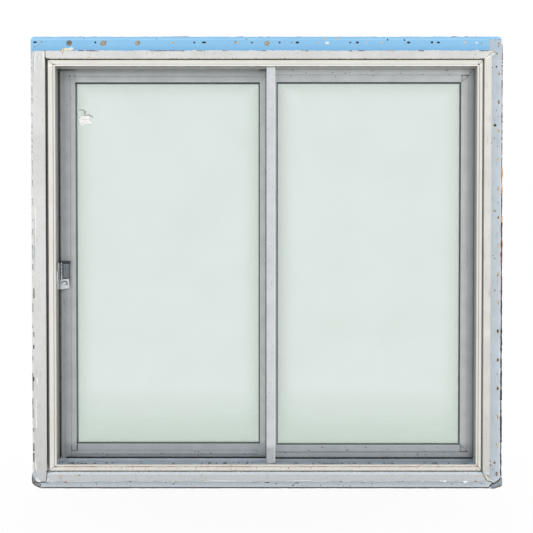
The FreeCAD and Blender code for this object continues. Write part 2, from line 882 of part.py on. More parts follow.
meeting_shape, meeting_room = glazed_loops(
    "0",
    "meeting_step",
    "meeting_width",
    "sash_front",
    "sash_back",
    "sash_glass_front",
    "sash_step_depth",
)
stile_high = "(opening_height / 2 + sash_head_cover)"
stile_low = "(-opening_height / 2 + sash_foot)"
meeting_past = "(meeting_width + %s)" % MARGIN
meeting = extrusion(
    "sash_stile_meeting",
    [meeting_shape, meeting_room],
    "2 * opening_height",
    [
        box_loop("(-%s)" % MARGIN, meeting_past, stile_high, "(2 * opening_height)"),
        box_loop("(-%s)" % MARGIN, meeting_past, "(-2 * opening_height)", stile_low),
    ],
)
place(meeting, SASH_RIGHT, MIDDLE)

# Top rail: two legs stand up beside the guide rib
to_lock = "(-lock_stile_gap - lock_stile_face - joint_gap)"
to_meeting = "(-opening_width / 2 - meeting_left - joint_gap)"
head_inner = "(sash_head_cover - sash_head_face)"
head_step = "(sash_head_cover - sash_head_step)"
head_line = "(%s + line_width)" % head_step
head_face = "(sash_front + sash_step_depth)"
head_line_floor = "(%s + line_depth)" % head_face
head_bite = "(%s + glass_bite)" % head_inner
sash_slot_front = "(sash_glass_front - glass_fit)"
sash_slot_back = "(sash_glass_front + %s + glass_fit)" % GLASS_DEPTH
head_channel = "(-sash_head_channel)"
head_loop = [
    ("tongue_reach", "sash_front"),
    (head_line, "sash_front"),
    (head_line, head_line_floor),
    (head_step, head_line_floor),
    (head_step, head_face),
    (head_inner, head_face),
    (head_inner, sash_slot_front),
    (head_bite, sash_slot_front),
    (head_bite, sash_slot_back),
    (head_inner, sash_slot_back),
    (head_inner, "sash_back"),
    ("tongue_reach", "sash_back"),
    ("tongue_reach", "channel_back"),
    (head_channel, "channel_back"),
    (head_channel, "channel_front"),
    ("tongue_reach", "channel_front"),
]
member(
    "sash_rail_top",
    "head",
    [head_loop],
    (head_inner, to_lock, "tongue_reach", to_lock),
    (head_inner, to_meeting, "tongue_reach", to_meeting),
)

# Bottom rail: a deeper channel holds the rollers over the track
low_outer = "(-sash_sill_lift)"
low_inner = "(-sash_sill_lift - sash_sill_face)"
low_step = "(-sash_sill_lift - sash_sill_step)"
low_line = "(-sash_sill_lift - sash_sill_line)"
low_line_end = "(%s - line_width)" % low_line
low_step_line = "(%s + line_width)" % low_step
low_bite = "(%s + glass_bite)" % low_inner
low_channel = "(-sash_foot - channel_height)"
low_face = "(sash_front + sash_step_depth)"
low_line_floor = "(%s + line_depth)" % low_face
low_loop = [
    ("(-sash_foot)", low_face),
    (low_outer, low_face),
    (low_outer, "sash_front"),
    (low_line, "sash_front"),
    (low_line, low_line_floor),
    (low_line_end, low_line_floor),
    (low_line_end, "sash_front"),
    (low_step_line, "sash_front"),
    (low_step_line, low_line_floor),
    (low_step, low_line_floor),
    (low_step, low_face),
    (low_inner, low_face),
    (low_inner, sash_slot_front),
    (low_bite, sash_slot_front),
    (low_bite, sash_slot_back),
    (low_inner, sash_slot_back),
    (low_inner, "sash_back"),
    ("(-sash_foot)", "sash_back"),
    ("(-sash_foot)", "channel_back"),
    (low_channel, "channel_back"),
    (low_channel, "channel_front"),
    ("(-sash_foot)", "channel_front"),
]
member(
    "sash_rail_bottom",
    "sill",
    [low_loop],
    (low_inner, to_meeting, "(-sash_foot)", to_meeting),
    (low_inner, to_lock, "(-sash_foot)", to_lock),
)
glazing(
    "sash",
    "(%s - %s)" % (SASH_LEFT, inset),
    "(%s + %s)" % (SASH_RIGHT, inset),
    "(%s - %s - %s)" % (SILL_LIP, low_inner, inset),
    "(%s + %s + %s)" % (HEAD_LIP, head_inner, inset),
    "sash_glass_front",
)
ring(
    "sash_gasket",
    SASH_LEFT,
    SASH_RIGHT,
    "(%s - %s)" % (SILL_LIP, low_inner),
    "(%s + %s)" % (HEAD_LIP, head_inner),
    "(sash_front + 2 * sash_step_depth)",
    "(sash_glass_front - sash_front - 2 * sash_step_depth)",
    "gasket_show",
    "gasket_show",
)


# Turns a cylinder to run into the building and puts its front end at x, a depth and z
def stand(drum, x, depth, z):
    turned = FreeCAD.Rotation(FreeCAD.Vector(1, 0, 0), -90)
    drum.Placement = FreeCAD.Placement(FreeCAD.Vector(), turned)
    bind(drum, "Placement.Base.x", x)
    bind(drum, "Placement.Base.y", "%s + %s" % (FRONT_Y, depth))
    bind(drum, "Placement.Base.z", z)


# Rollers: a wheel on an axle near each end of the bottom rail
def roller(name, x):
    height = "(%s + roller_radius + seat_gap)" % SILL_LIP
    middle = "(rib_front + rib_thickness / 2)"
    pieces = []
    for label, radius, width in (
        ("wheel", "roller_radius", "roller_width"),
        ("axle", "axle_radius", "(channel_back - channel_front)"),
    ):
        drum = doc.addObject("Part::Cylinder", name + "_" + label)
        bind(drum, "Radius", radius)
        bind(drum, "Height", width)
        start = "(%s - %s / 2)" % (middle, width) if label == "wheel" else "channel_front"
        stand(drum, x, start, height)
        pieces.append(drum)
    joined = doc.addObject("Part::Fuse", name)
    joined.Base, joined.Tool = pieces
    return joined


group(
    "sash_rollers",
    [
        roller("roller_left", "%s + roller_inset" % SASH_LEFT),
        roller("roller_right", "%s - roller_inset" % SASH_RIGHT),
    ],
)

# Latch: a ribbed body on the lock stile, a slanted thumb tab with a round finger recess below it,
# and a keeper on the jamb
latch_x = "(%s + latch_side_gap)" % LEFT_LIP
latch_low = "(%s - latch_drop)" % MIDDLE
latch_front = "(sash_front - latch_thickness)"
latch_plate = plate(
    "latch_plate",
    box_loop("0", "latch_width", "0", "latch_height"),
    latch_x,
    latch_low,
    latch_front,
    "latch_thickness",
    [(2, "latch_corner"), (3, "latch_corner")],
)
ribs = []
for number in range(SIZES["latch_ribs"]):
    ribs.append(
        block(
            "latch_rib_%d" % number,
            "(%s + latch_rib / 2 + %d * latch_rib_pitch)" % (latch_x, number),
            "(%s - latch_rib_rise)" % latch_front,
            "(%s + latch_corner)" % latch_low,
            "latch_rib",
            "(latch_rib_rise + wall)",
            "(latch_height - 2 * latch_corner)",
        )
    )
ribbed = doc.addObject("Part::MultiFuse", "latch_body")
ribbed.Shapes = [latch_plate] + ribs
keep("latch_body", ribbed)

thumb_front = "(sash_front - thumb_thickness)"
thumb_middle = "(%s - (thumb_slant + thumb_height) / 2)" % latch_low
thumb_plate = plate(
    "thumb_plate",
    [
        ("0", "(-thumb_height)"),
        ("thumb_width", "(thumb_slant - thumb_height)"),
        ("thumb_width", "0"),
        ("0", "(-thumb_slant)"),
    ],
    latch_x,
    latch_low,
    thumb_front,
    "thumb_thickness",
    [(0, "thumb_radius"), (1, "thumb_radius"), (2, "latch_corner"), (3, "thumb_radius")],
)
recess = doc.addObject("Part::Cylinder", "thumb_recess_tool")
bind(recess, "Radius", "thumb_recess")
bind(recess, "Height", "(thumb_recess_depth + %s)" % MARGIN)
stand(recess, "%s + thumb_width / 2" % latch_x, "%s - %s" % (thumb_front, MARGIN), thumb_middle)
thumb = doc.addObject("Part::Cut", "latch_thumb")
thumb.Base = thumb_plate
thumb.Tool = recess
keep("latch_thumb", thumb)
keep(
    "latch_keeper",
    block(
        "latch_keeper",
        LEFT_LIP,
        "keeper_front",
        "(%s - keeper_drop)" % MIDDLE,
        "keeper_thickness",
        "(keeper_back - keeper_front)",
        "keeper_height",
    ),
)

doc.recompute()
for item in doc.Objects:
    if "Invalid" in item.State or "Error" in item.State:
        raise ValueError("%s did not compute: %s" % (item.Label, item.State))
os.makedirs("parts", exist_ok=True)
for name, item in nodes.items():
    shape = item.Shape
    if shape.isNull() or not shape.isValid() or not shape.Solids:
        raise ValueError("%s has no valid solid" % name)
    shape.exportStep("parts/%s.step" % name)
print("%d nodes" % len(nodes))
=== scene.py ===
import json
import math
import random

import bpy
from mathutils import Matrix, Vector


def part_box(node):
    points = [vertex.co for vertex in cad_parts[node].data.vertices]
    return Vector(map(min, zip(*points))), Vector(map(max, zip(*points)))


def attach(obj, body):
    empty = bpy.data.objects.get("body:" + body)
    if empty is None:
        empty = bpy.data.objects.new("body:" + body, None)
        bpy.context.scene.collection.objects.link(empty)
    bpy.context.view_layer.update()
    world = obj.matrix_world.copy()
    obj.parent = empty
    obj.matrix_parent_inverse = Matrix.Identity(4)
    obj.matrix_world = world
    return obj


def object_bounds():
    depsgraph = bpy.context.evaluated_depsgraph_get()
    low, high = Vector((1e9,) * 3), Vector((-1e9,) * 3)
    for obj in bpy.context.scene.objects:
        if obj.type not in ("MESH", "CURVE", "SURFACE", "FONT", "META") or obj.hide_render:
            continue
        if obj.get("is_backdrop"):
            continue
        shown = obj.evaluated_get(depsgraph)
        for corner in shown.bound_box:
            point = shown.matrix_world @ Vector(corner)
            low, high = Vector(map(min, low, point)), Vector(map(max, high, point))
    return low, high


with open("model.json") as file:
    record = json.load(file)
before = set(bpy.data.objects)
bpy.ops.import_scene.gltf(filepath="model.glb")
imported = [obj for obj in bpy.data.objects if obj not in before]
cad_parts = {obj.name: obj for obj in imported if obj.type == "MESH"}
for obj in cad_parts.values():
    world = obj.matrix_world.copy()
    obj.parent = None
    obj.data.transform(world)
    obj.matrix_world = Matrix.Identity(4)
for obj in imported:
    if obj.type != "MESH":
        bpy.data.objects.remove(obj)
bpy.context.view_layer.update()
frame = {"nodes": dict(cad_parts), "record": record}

# The horizontal sliding window as it stands after years in a wall and its removal: enamelled outer
# frame, aged aluminium sashes, dusty glass, a blue protective film left on the head's nailing fin,
# and scraps of sealant, paper and sheathing along its edges. Lengths are metres.
MM = 0.001

# How the photo was taken: from 2 m, in a square picture, a degree downwards
PHOTO_SIZE = 533
MM_PER_PIXEL = 2.633
OPENING_CENTRE = (266.2, 266.15)
CAMERA_DISTANCE = 2.0
CAMERA_PITCH = math.radians(0.95)
SENSOR = 36.0


def lowest(node):
    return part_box(node)[0]


def highest(node):
    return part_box(node)[1]


FRONT = lowest("ridge_head").y
FIN_FRONT = lowest("fin_head").y
SASH_FRONT = lowest("sash_stile_lock").y
FIXED_FRONT = lowest("fixed_stile_right").y
LEFT_LIP = highest("ridge_left").x
RIGHT_LIP = lowest("ridge_right").x
SILL_LIP = highest("ridge_sill").z
HEAD_LIP = lowest("ridge_head").z
MIDDLE_Z = (SILL_LIP + HEAD_LIP) / 2


# The x and z of a spot in the photo, on a plane at a depth behind the front face
def spot(across, down, depth=0.0):
    right = (across - OPENING_CENTRE[0]) * MM_PER_PIXEL * MM / CAMERA_DISTANCE
    up = (OPENING_CENTRE[1] - down) * MM_PER_PIXEL * MM / CAMERA_DISTANCE + math.tan(CAMERA_PITCH)
    ahead = math.cos(CAMERA_PITCH) + up * math.sin(CAMERA_PITCH)
    rise = up * math.cos(CAMERA_PITCH) - math.sin(CAMERA_PITCH)
    reach = (CAMERA_DISTANCE + depth) / ahead
    return right * reach, MIDDLE_Z + rise * reach


# Materials

def linear(code):
    channels = [int(code[i : i + 2], 16) / 255 for i in (1, 3, 5)]
    bent = [c / 12.92 if c <= 0.04045 else ((c + 0.055) / 1.055) ** 2.4 for c in channels]
    return (*bent, 1.0)


# Adds a shader node with its settings and its links or values, and returns one of its outputs
def add(tree, kind, settings, inputs, output=None):
    node = tree.nodes.new("ShaderNode" + kind)
    for name, value in settings.items():
        setattr(node, name, value)
    for name, value in inputs.items():
        socket = next(s for s in node.inputs if s.enabled and name in (s.identifier, s.name))
        if isinstance(value, bpy.types.NodeSocket):
            tree.links.new(value, socket)
        else:
            socket.default_value = value
    if output:
        return node.outputs[output]
    return next(s for s in node.outputs if s.enabled)


# A new material with the shader's constant values set, its node tree and its shader
def finish_of(name, **values):
    material = bpy.data.materials.new(name)
    material.use_nodes = True
    tree = material.node_tree
    shader = tree.nodes["Principled BSDF"]
    for key, value in values.items():
        shader.inputs[key.replace("_", " ")].default_value = value
    return material, tree, shader


# A mask that rises from 0 to 1 between two places along X, Y or Z
def along(tree, axis, start, end, top=1.0):
    place = add(tree, "TexCoord", {}, {}, "Object")
    value = add(tree, "SeparateXYZ", {}, {"Vector": place}, axis)
    ends = {"Value": value, "From Min": start, "From Max": end, "To Max": top}
    return add(tree, "MapRange", {}, ends)


# A mask of soft patches of one size, stretched by three factors, from where the noise passes low
def patches(tree, size, low, high, top=1.0, stretch=(1, 1, 1), detail=4.0):
    place = add(tree, "TexCoord", {}, {}, "Object")
    scaled = add(tree, "Mapping", {}, {"Vector": place, "Scale": [1 / s for s in stretch]})
    cloud = add(tree, "TexNoise", {}, {"Vector": scaled, "Scale": 1 / size, "Detail": detail})
    return add(tree, "MapRange", {}, {"Value": cloud, "From Min": low, "From Max": high, "To Max": top})


def both(tree, first, second):
    return add(tree, "Math", {"operation": "MULTIPLY"}, {"Value": first, "Value_001": second})


# Coats of colour laid one over another, each where its mask says
def coats(tree, base, layers):
    colour = linear(base)
    for code, mask in layers:
        inputs = {"Factor": mask, "A": colour, "B": linear(code)}
        colour = add(tree, "Mix", {"data_type": "RGBA"}, inputs)
    return colour


def relief(tree, shader, height, distance):
    bumped = add(tree, "Bump", {}, {"Height": height, "Distance": distance})
    tree.links.new(bumped, shader.inputs["Normal"])


# Depth behind the front face past which the painted shade of a groove or a reveal starts, and where it is full
EASED = 0.0018
DEEP = 0.006


# Weathered polyester enamel on the outer face: chalky, with scuffs and grey run-off on the sill, a
# painted highlight along the top of the sill's casing and painted shade down the accessory groove's walls
def outer_face_enamel():
    material, tree, shader = finish_of("chalked_enamel", Metallic=0.0, Roughness=0.5)
    cloudy = patches(tree, 60 * MM, 0.4, 0.62, 0.55)
    scuffs = patches(tree, 9 * MM, 0.6, 0.68, 0.45, (1, 1, 5))
    specks = patches(tree, 2.2 * MM, 0.70, 0.74, 0.5)
    sill = along(tree, "Z", SILL_LIP, 0.012)
    sides = along(tree, "Y", FRONT + EASED, FRONT + DEEP)
    right_side = along(tree, "X", 0.570, 0.573)
    low_dirt = along(tree, "Z", 0.40, 0.03, 0.55)
    # A pale blue band along the top of the sill's casing is a painted highlight
    painted_sill_highlight = both(tree, along(tree, "Z", 0.0285, 0.0315), along(tree, "Z", 0.0352, 0.0340, 0.75))
    painted_sill_highlight = both(tree, painted_sill_highlight, along(tree, "X", -0.5803, -0.5795))
    # Painted shade down the accessory groove's walls, none at the sill or at the right
    painted_groove_shade = both(tree, sides, groove_zone(tree))
    painted_groove_shade = both(tree, painted_groove_shade, along(tree, "Z", 0.045, 0.065))
    painted_groove_shade = both(tree, painted_groove_shade, along(tree, "X", 0.50, 0.45))
    colour = coats(
        tree,
        "#DCDDDC",
        [
            ("#E2E0D9", right_side),
            ("#CDCDCB", cloudy),
            ("#C6C5C1", low_dirt),
            ("#C6CACE", sill),
            ("#DCE8F3", painted_sill_highlight),
            ("#B9B4AB", scuffs),
            ("#857A6C", specks),
            ("#4A4744", painted_groove_shade),
        ],
    )
    tree.links.new(colour, shader.inputs["Base Color"])
    relief(tree, shader, patches(tree, 3 * MM, 0.3, 0.8), 0.15 * MM)
    return material


# Inside the outer edge of the accessory groove, on all four sides
def groove_zone(tree):
    reach = 0.0005
    left = along(tree, "X", lowest("casing_left").x + 0.015, lowest("casing_left").x + 0.016)
    right = along(tree, "X", lowest("casing_right").x + 0.010, lowest("casing_right").x + 0.009)
    low = along(tree, "Z", highest("casing_sill").z - 0.010, highest("casing_sill").z - 0.009)
    high = along(tree, "Z", lowest("casing_head").z + 0.010, lowest("casing_head").z + 0.009 + reach)
    return both(tree, both(tree, left, right), both(tree, low, high))


# Cream enamel on the raised ridge: cleaner than the outer face, with beige dirt in the fine groove,
# a painted highlight along the head's lip, and grey down the reveal behind its lip, partly bare metal
# and partly painted shade, darker further back, paler under the head and blue-grey on the sill's ledge
def ridge_enamel():
    material, tree, shader = finish_of("cream_enamel", Metallic=0.0, Roughness=0.42)
    cloudy = patches(tree, 45 * MM, 0.42, 0.65, 0.4)
    groove = both(
        tree,
        along(tree, "Y", FRONT + 0.0009, FRONT + 0.0013),
        along(tree, "Y", FRONT + 0.0021, FRONT + 0.0017),
    )
    clean = both(tree, groove, along(tree, "Z", HEAD_LIP, HEAD_LIP + 0.002, 0.7))
    # A painted highlight along the head's lip
    painted_lip_highlight = both(
        tree,
        along(tree, "Y", FRONT + 0.0008, FRONT + 0.0004),
        both(
            tree,
            along(tree, "Z", HEAD_LIP - 0.001, HEAD_LIP),
            along(tree, "Z", HEAD_LIP + 0.0036, HEAD_LIP + 0.0028),
        ),
    )
    trickled = both(tree, groove, patches(tree, 14 * MM, 0.44, 0.56, 0.9, (3, 1, 1)))
    trickled = both(tree, trickled, along(tree, "Z", 0.060, 0.058))
    stains = both(
        tree,
        patches(tree, 3.5 * MM, 0.62, 0.68, 0.8, (2, 1, 1)),
        along(tree, "Z", 0.062, 0.058),
    )
    # Grey down the reveals, partly bare metal and partly painted shade: darker further back, paler under the head,
    # blue-grey on the sill's ledge
    reveal_metal_and_shade = along(tree, "Y", FRONT + EASED, FRONT + DEEP)
    painted_deep_shade = along(tree, "Y", FRONT + 0.010, FRONT + 0.033)
    ledge = both(tree, reveal_metal_and_shade, along(tree, "Z", 0.07, 0.06))
    painted_soffit_shade = both(tree, reveal_metal_and_shade, along(tree, "Z", HEAD_LIP - 0.002, HEAD_LIP))
    grime = both(
        tree,
        both(tree, along(tree, "Y", FRONT + 0.0015, FRONT + 0.0030), along(tree, "Y", FRONT + 0.0125, FRONT + 0.0085)),
        both(tree, along(tree, "Z", HEAD_LIP - 0.002, HEAD_LIP), patches(tree, 5 * MM, 0.42, 0.56, 0.75, (4, 1, 1))),
    )
    colour = coats(
        tree,
        "#E6E4DE",
        [
            ("#DAD7CE", cloudy),
            ("#C9BDA9", groove),
            ("#E6E4DE", clean),
            ("#FBFAF7", painted_lip_highlight),
            ("#A98550", trickled),
            ("#A67A4A", stains),
            ("#A6AAA8", reveal_metal_and_shade),
            ("#4C5052", painted_deep_shade),
            ("#A3B1BE", ledge),
            ("#B2B4B0", painted_soffit_shade),
            ("#4A4A44", grime),
        ],
    )
    tree.links.new(colour, shader.inputs["Base Color"])
    relief(tree, shader, patches(tree, 2.5 * MM, 0.3, 0.8), 0.1 * MM)
    return material


# Enamel on the frame behind: clean and grey-white where the wall covered it. On the accessory
# groove's floor, painted shade with dirt at the left, brown dirt at the head, and near white at the
# right and the sill to lighten their shade; the lock side's pocket is painted black as its shadow
def frame_enamel():
    material, tree, shader = finish_of("sheltered_enamel", Metallic=0.0, Roughness=0.45)
    cloudy = patches(tree, 80 * MM, 0.4, 0.65, 0.5)
    rubs = patches(tree, 6 * MM, 0.62, 0.7, 0.5, (6, 1, 6))
    # The groove's floor: dark as painted shade with dirt, painted near white at the right and the sill to lighten
    # their shade
    floor = along(tree, "Y", FRONT + 0.01405, FRONT + 0.01395)
    sill = both(tree, floor, along(tree, "Z", 0.045, 0.043))
    depths = both(tree, along(tree, "Y", 0.003, 0.006), along(tree, "Y", 0.0497, 0.0490))
    widths = both(
        tree,
        along(tree, "X", LEFT_LIP - 0.0135, LEFT_LIP - 0.0115),
        along(tree, "X", LEFT_LIP + 0.006, LEFT_LIP + 0.004),
    )
    heights = both(
        tree,
        along(tree, "Z", 0.030, 0.035),
        along(tree, "Z", HEAD_LIP + 0.0145, HEAD_LIP + 0.0135),
    )
    # The lock side's pocket is painted black as its shadow
    painted_pocket_shadow = both(tree, both(tree, depths, widths), heights)
    right = both(tree, floor, along(tree, "X", RIGHT_LIP, RIGHT_LIP + 0.002))
    head = both(tree, floor, along(tree, "Z", HEAD_LIP + 0.014, HEAD_LIP + 0.016))
    colour = coats(
        tree,
        "#CDCFCE",
        [
            ("#B9BCBC", cloudy),
            ("#A39E95", rubs),
            ("#474136", floor),
            ("#F0EEE8", right),
            ("#A38D71", head),
            ("#FFFFFF", sill),
            ("#121212", painted_pocket_shadow),
        ],
    )
    tree.links.new(colour, shader.inputs["Base Color"])
    relief(tree, shader, patches(tree, 4 * MM, 0.3, 0.8), 0.1 * MM)
    return material


# Mill-finish aluminium of the nailing fins: dull and blue-grey, painted lighter at the foot against
# the casing's shadow, with painted highlights along the right fin's outer edge and the sill fin's
# lower edge. The head's fin still wears its blue polyethylene film, which gives it a brighter line
# near its upper edge.
def fin_metal():
    material, tree, shader = finish_of("mill_fin_and_film", Metallic=0.0, Roughness=0.4)
    cloudy = patches(tree, 50 * MM, 0.4, 0.65, 0.5)
    rubs = patches(tree, 5 * MM, 0.6, 0.7, 0.4, (1, 1, 6))
    # The foot is painted lighter against the casing's shadow
    foot = along(tree, "Z", 0.020, 0.006)
    corner = both(tree, along(tree, "Z", 1.12, 1.16), along(tree, "X", 0.586, 0.588))
    # Painted highlights along the right fin's outer edge and the sill fin's lower edge
    painted_side_highlight = along(tree, "X", 0.6228, 0.6240, 0.8)
    painted_foot_highlight = both(tree, along(tree, "Z", -0.0060, -0.0075), along(tree, "Z", -0.0108, -0.0095, 0.7))
    head_edge = lowest("fin_head").z
    right_edge = highest("fin_head").x
    front = along(tree, "Y", FIN_FRONT + 0.0012, FIN_FRONT + 0.0008)
    above = both(tree, front, along(tree, "Z", head_edge + 0.0055, head_edge + 0.0058))
    left_of = along(tree, "X", right_edge + 0.0005, right_edge)
    strip = along(tree, "Z", head_edge + 0.0355, head_edge + 0.0360)
    film = both(tree, above, add(tree, "Math", {"operation": "MAXIMUM"}, {"Value": left_of, "Value_001": strip}))
    film = both(tree, film, along(tree, "X", -0.6240, -0.6235))
    pale_line = both(
        tree,
        along(tree, "Z", head_edge + 0.0345, head_edge + 0.0375),
        along(tree, "Z", head_edge + 0.0415, head_edge + 0.0385),
    )
    low_film = both(tree, film, along(tree, "Z", head_edge + 0.022, head_edge + 0.004, 0.55))
    wrinkles = both(tree, film, patches(tree, 14 * MM, 0.5, 0.7, 0.35, (5, 1, 1)))
    colour = coats(
        tree,
        "#CAD4DD",
        [
            ("#BAC5CF", cloudy),
            ("#A1AAB2", rubs),
            ("#D2DCE4", foot),
            ("#B2C3D3", corner),
            ("#EAF3F9", painted_side_highlight),
            ("#DFE7EE", painted_foot_highlight),
            ("#97CFF1", film),
            ("#7BBDE9", low_film),
            ("#ABDAF7", both(tree, film, pale_line)),
            ("#86C3EA", wrinkles),
        ],
    )
    tree.links.new(colour, shader.inputs["Base Color"])
    relief(tree, shader, patches(tree, 20 * MM, 0.3, 0.8, 1.0, (3, 1, 1)), 0.4 * MM)
    return material


# Anodised aluminium gone matt: fine lines along the extrusion, blotches, darker near the sill,
# painted lighter under the head against its shadow, painted shade beside the right reveal and
# painted highlights down the sash's left edge and the mullion's right edge
def aged_aluminium(name, code, dark, grain_axis, roughness=0.42):
    material, tree, shader = finish_of(name, Metallic=0.55, Roughness=roughness)
    stretch = [1, 1, 1]
    stretch["XYZ".index(grain_axis)] = 60
    lines = patches(tree, 1.2 * MM, 0.35, 0.7, 0.35, stretch)
    cloudy = patches(tree, 38 * MM, 0.38, 0.66, 0.55)
    specks = patches(tree, 2.5 * MM, 0.69, 0.73, 0.6)
    foot = along(tree, "Z", 0.108, 0.094, 0.5)
    # Painted lighter under the head against its shadow, and a painted highlight down the sash's left edge
    top = along(tree, "Z", HEAD_LIP - 0.016, HEAD_LIP - 0.008, 0.45)
    painted_stile_highlight = along(tree, "X", LEFT_LIP + 0.008, LEFT_LIP + 0.001, 0.7)
    layers = [(dark, cloudy), (dark, lines), ("#4B4B49", specks), ("#8A9298", foot), ("#DEE0E0", top)]
    fixed_foot = both(tree, along(tree, "Z", 0.087, 0.082, 0.32), along(tree, "X", 0.0245, 0.0260))
    # The fixed light's foot is darker, and painted shade darkens its right stile beside the reveal
    layers += [("#858C92", fixed_foot), ("#8E9293", along(tree, "X", 0.5405, 0.5430, 0.28))]
    rail_foot = both(tree, along(tree, "Z", 0.092, 0.074, 0.15), along(tree, "Z", 0.0638, 0.0648))
    rail_foot = both(tree, rail_foot, along(tree, "X", -0.512, -0.506))
    layers += [("#BFD0E4", both(tree, rail_foot, along(tree, "X", -0.035, -0.040)))]
    # A painted highlight down the mullion's right edge
    painted_mullion_highlight = along(tree, "X", 0.0212, 0.0228, 0.6)
    layers += [("#F4F6F6", painted_stile_highlight), ("#FBFCFC", both(tree, painted_mullion_highlight, along(tree, "X", 0.0243, 0.0241)))]
    colour = coats(tree, code, layers)
    tree.links.new(colour, shader.inputs["Base Color"])
    relief(tree, shader, lines, 0.05 * MM)
    return material


# Where the painted shade along a pane's edge starts, inside its seat, and how far in it fades out
EDGE_SHADE_START = 0.008
EDGE_SHADE_REACH = 0.088


# Dusty float glass with the pale green of its iron, seen through two panes, and painted shade along
# its edges
def dusty_glass(name, node):
    material, tree, shader = finish_of(name, Metallic=0.0, Roughness=0.02, IOR=1.5)
    low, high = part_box(node)
    # Painted shade along the pane's edges
    rims = [
        along(tree, "X", low.x + EDGE_SHADE_REACH, low.x + EDGE_SHADE_START),
        along(tree, "X", high.x - EDGE_SHADE_REACH, high.x - EDGE_SHADE_START),
        along(tree, "Z", low.z + EDGE_SHADE_REACH, low.z + EDGE_SHADE_START),
        along(tree, "Z", high.z - EDGE_SHADE_REACH, high.z - EDGE_SHADE_START),
    ]
    rim = rims[0]
    for other in rims[1:]:
        rim = add(tree, "Math", {"operation": "MAXIMUM"}, {"Value": rim, "Value_001": other})
    rim = add(tree, "Math", {"operation": "POWER"}, {"Value": rim, "Value_001": 4.0})
    dust = patches(tree, 160 * MM, 0.4, 0.7, 0.25)
    foot = along(tree, "Z", low.z + 0.16, low.z + 0.05)
    colour = coats(tree, "#F3F8F6", [("#ECF3EF", dust), ("#E9F1EC", foot), ("#E3EBE6", rim)])
    tree.links.new(colour, shader.inputs["Base Color"])
    shader.inputs["Transmission Weight"].default_value = 0.93
    return material


# Black EPDM glazing rubber with grey dust, lighter down its left side and at its foot, and painted
# shade along its top
def glazing_rubber():
    material, tree, shader = finish_of("epdm_rubber", Metallic=0.0, Roughness=0.6)
    dust = patches(tree, 20 * MM, 0.42, 0.7, 0.6)
    foot = along(tree, "Z", 0.115, 0.105)
    # Painted shade along the top
    top = along(tree, "Z", 1.060, 1.070)
    left = along(tree, "X", lowest("sash_gasket").x + 0.0065, lowest("sash_gasket").x + 0.0055)
    colour = coats(tree, "#484D4B", [("#5E6562", dust), ("#6B726F", left), ("#5B625F", foot), ("#3F4442", top)])
    tree.links.new(colour, shader.inputs["Base Color"])
    return material


# Moulded acetal or nylon: a fine spark-eroded grain and slight sheen
def moulded_plastic(name, code, dark, roughness=0.4):
    material, tree, shader = finish_of(name, Metallic=0.0, Roughness=roughness)
    worn = patches(tree, 8 * MM, 0.42, 0.62, 0.6)
    colour = coats(tree, code, [(dark, worn)])
    tree.links.new(colour, shader.inputs["Base Color"])
    relief(tree, shader, patches(tree, 0.8 * MM, 0.3, 0.7), 0.05 * MM)
    return material


# Chrome-free silver lacquer on the thumb tab, rubbed at its edges
def silver_lacquer():
    material, tree, shader = finish_of("silver_lacquer", Metallic=0.4, Roughness=0.35)
    worn = patches(tree, 6 * MM, 0.5, 0.65, 0.6)
    colour = coats(tree, "#E9ECEE", [("#B4B9BD", worn)])
    tree.links.new(colour, shader.inputs["Base Color"])
    return material


fin_finish = fin_metal()
FINISHES = {
    "frame_white": frame_enamel(),
    "ridge_cream": ridge_enamel(),
    "casing_grey": outer_face_enamel(),
    "fin_blue": fin_finish,
    "fin_grey": fin_finish,
    "sill_slate": aged_aluminium("slate_sill_aluminium", "#EDF5FC", "#C3CFDA", "X"),
    "track_metal": aged_aluminium("track_aluminium", "#A9ABAB", "#8A8C8D", "X"),
    "mullion_white": aged_aluminium("pale_mullion_aluminium", "#D6DADD", "#C0C5C9", "Z"),
    "sash_aluminium": aged_aluminium("matt_anodised_aluminium", "#C3C7C8", "#ADB2B4", "Z"),
    "spacer_metal": moulded_plastic("pale_spacer", "#F0F3F1", "#E2E6E3"),
    "gasket_black": glazing_rubber(),
    "roller_nylon": moulded_plastic("white_nylon", "#D9D8D2", "#B9B7AF"),
    "latch_slate": moulded_plastic("slate_nylon", "#888F94", "#6B7379"),
    "latch_silver": silver_lacquer(),
    "keeper_metal": aged_aluminium("keeper_aluminium", "#84888C", "#6C7073", "Z"),
}
GLASS = {
    "sash_glass": dusty_glass("dusty_sash_glass", "sash_glass"),
    "fixed_glass": dusty_glass("dusty_fixed_glass", "fixed_glass"),
}

for part in frame["record"]["subparts"]:
    node = frame["nodes"][part["node"]]
    finish = GLASS.get(part["node"]) or FINISHES[part["material_slot"]]
    for holder in node.material_slots:
        holder.material = finish


# Pieces that the frame doesn't have: film, sealant, paper, torn sheathing and dirt

FIN_EDGE = highest("fin_head").z
CASING_TOP = highest("casing_head").z
CASING_FOOT = lowest("casing_sill").z
FILM_FRONT = FIN_FRONT - 0.30 * MM


# A point on the plane at y that shows at a spot of the photo
def at(across, down, y):
    x, z = spot(across, down, y - FRONT)
    return Vector((x, y, z))


# Puts a new piece's place into its mesh
def settle(name):
    bpy.ops.object.transform_apply(location=True, rotation=True, scale=True)
    piece = bpy.context.object
    piece.name = name
    piece.data.name = name
    return piece


# Starts a piece as a block between two corners
def start_block(name, low, high):
    bpy.ops.object.select_all(action="DESELECT")
    low, high = Vector(low), Vector(high)
    bpy.ops.mesh.primitive_cube_add(size=1, location=(low + high) / 2, scale=high - low)
    return settle(name)


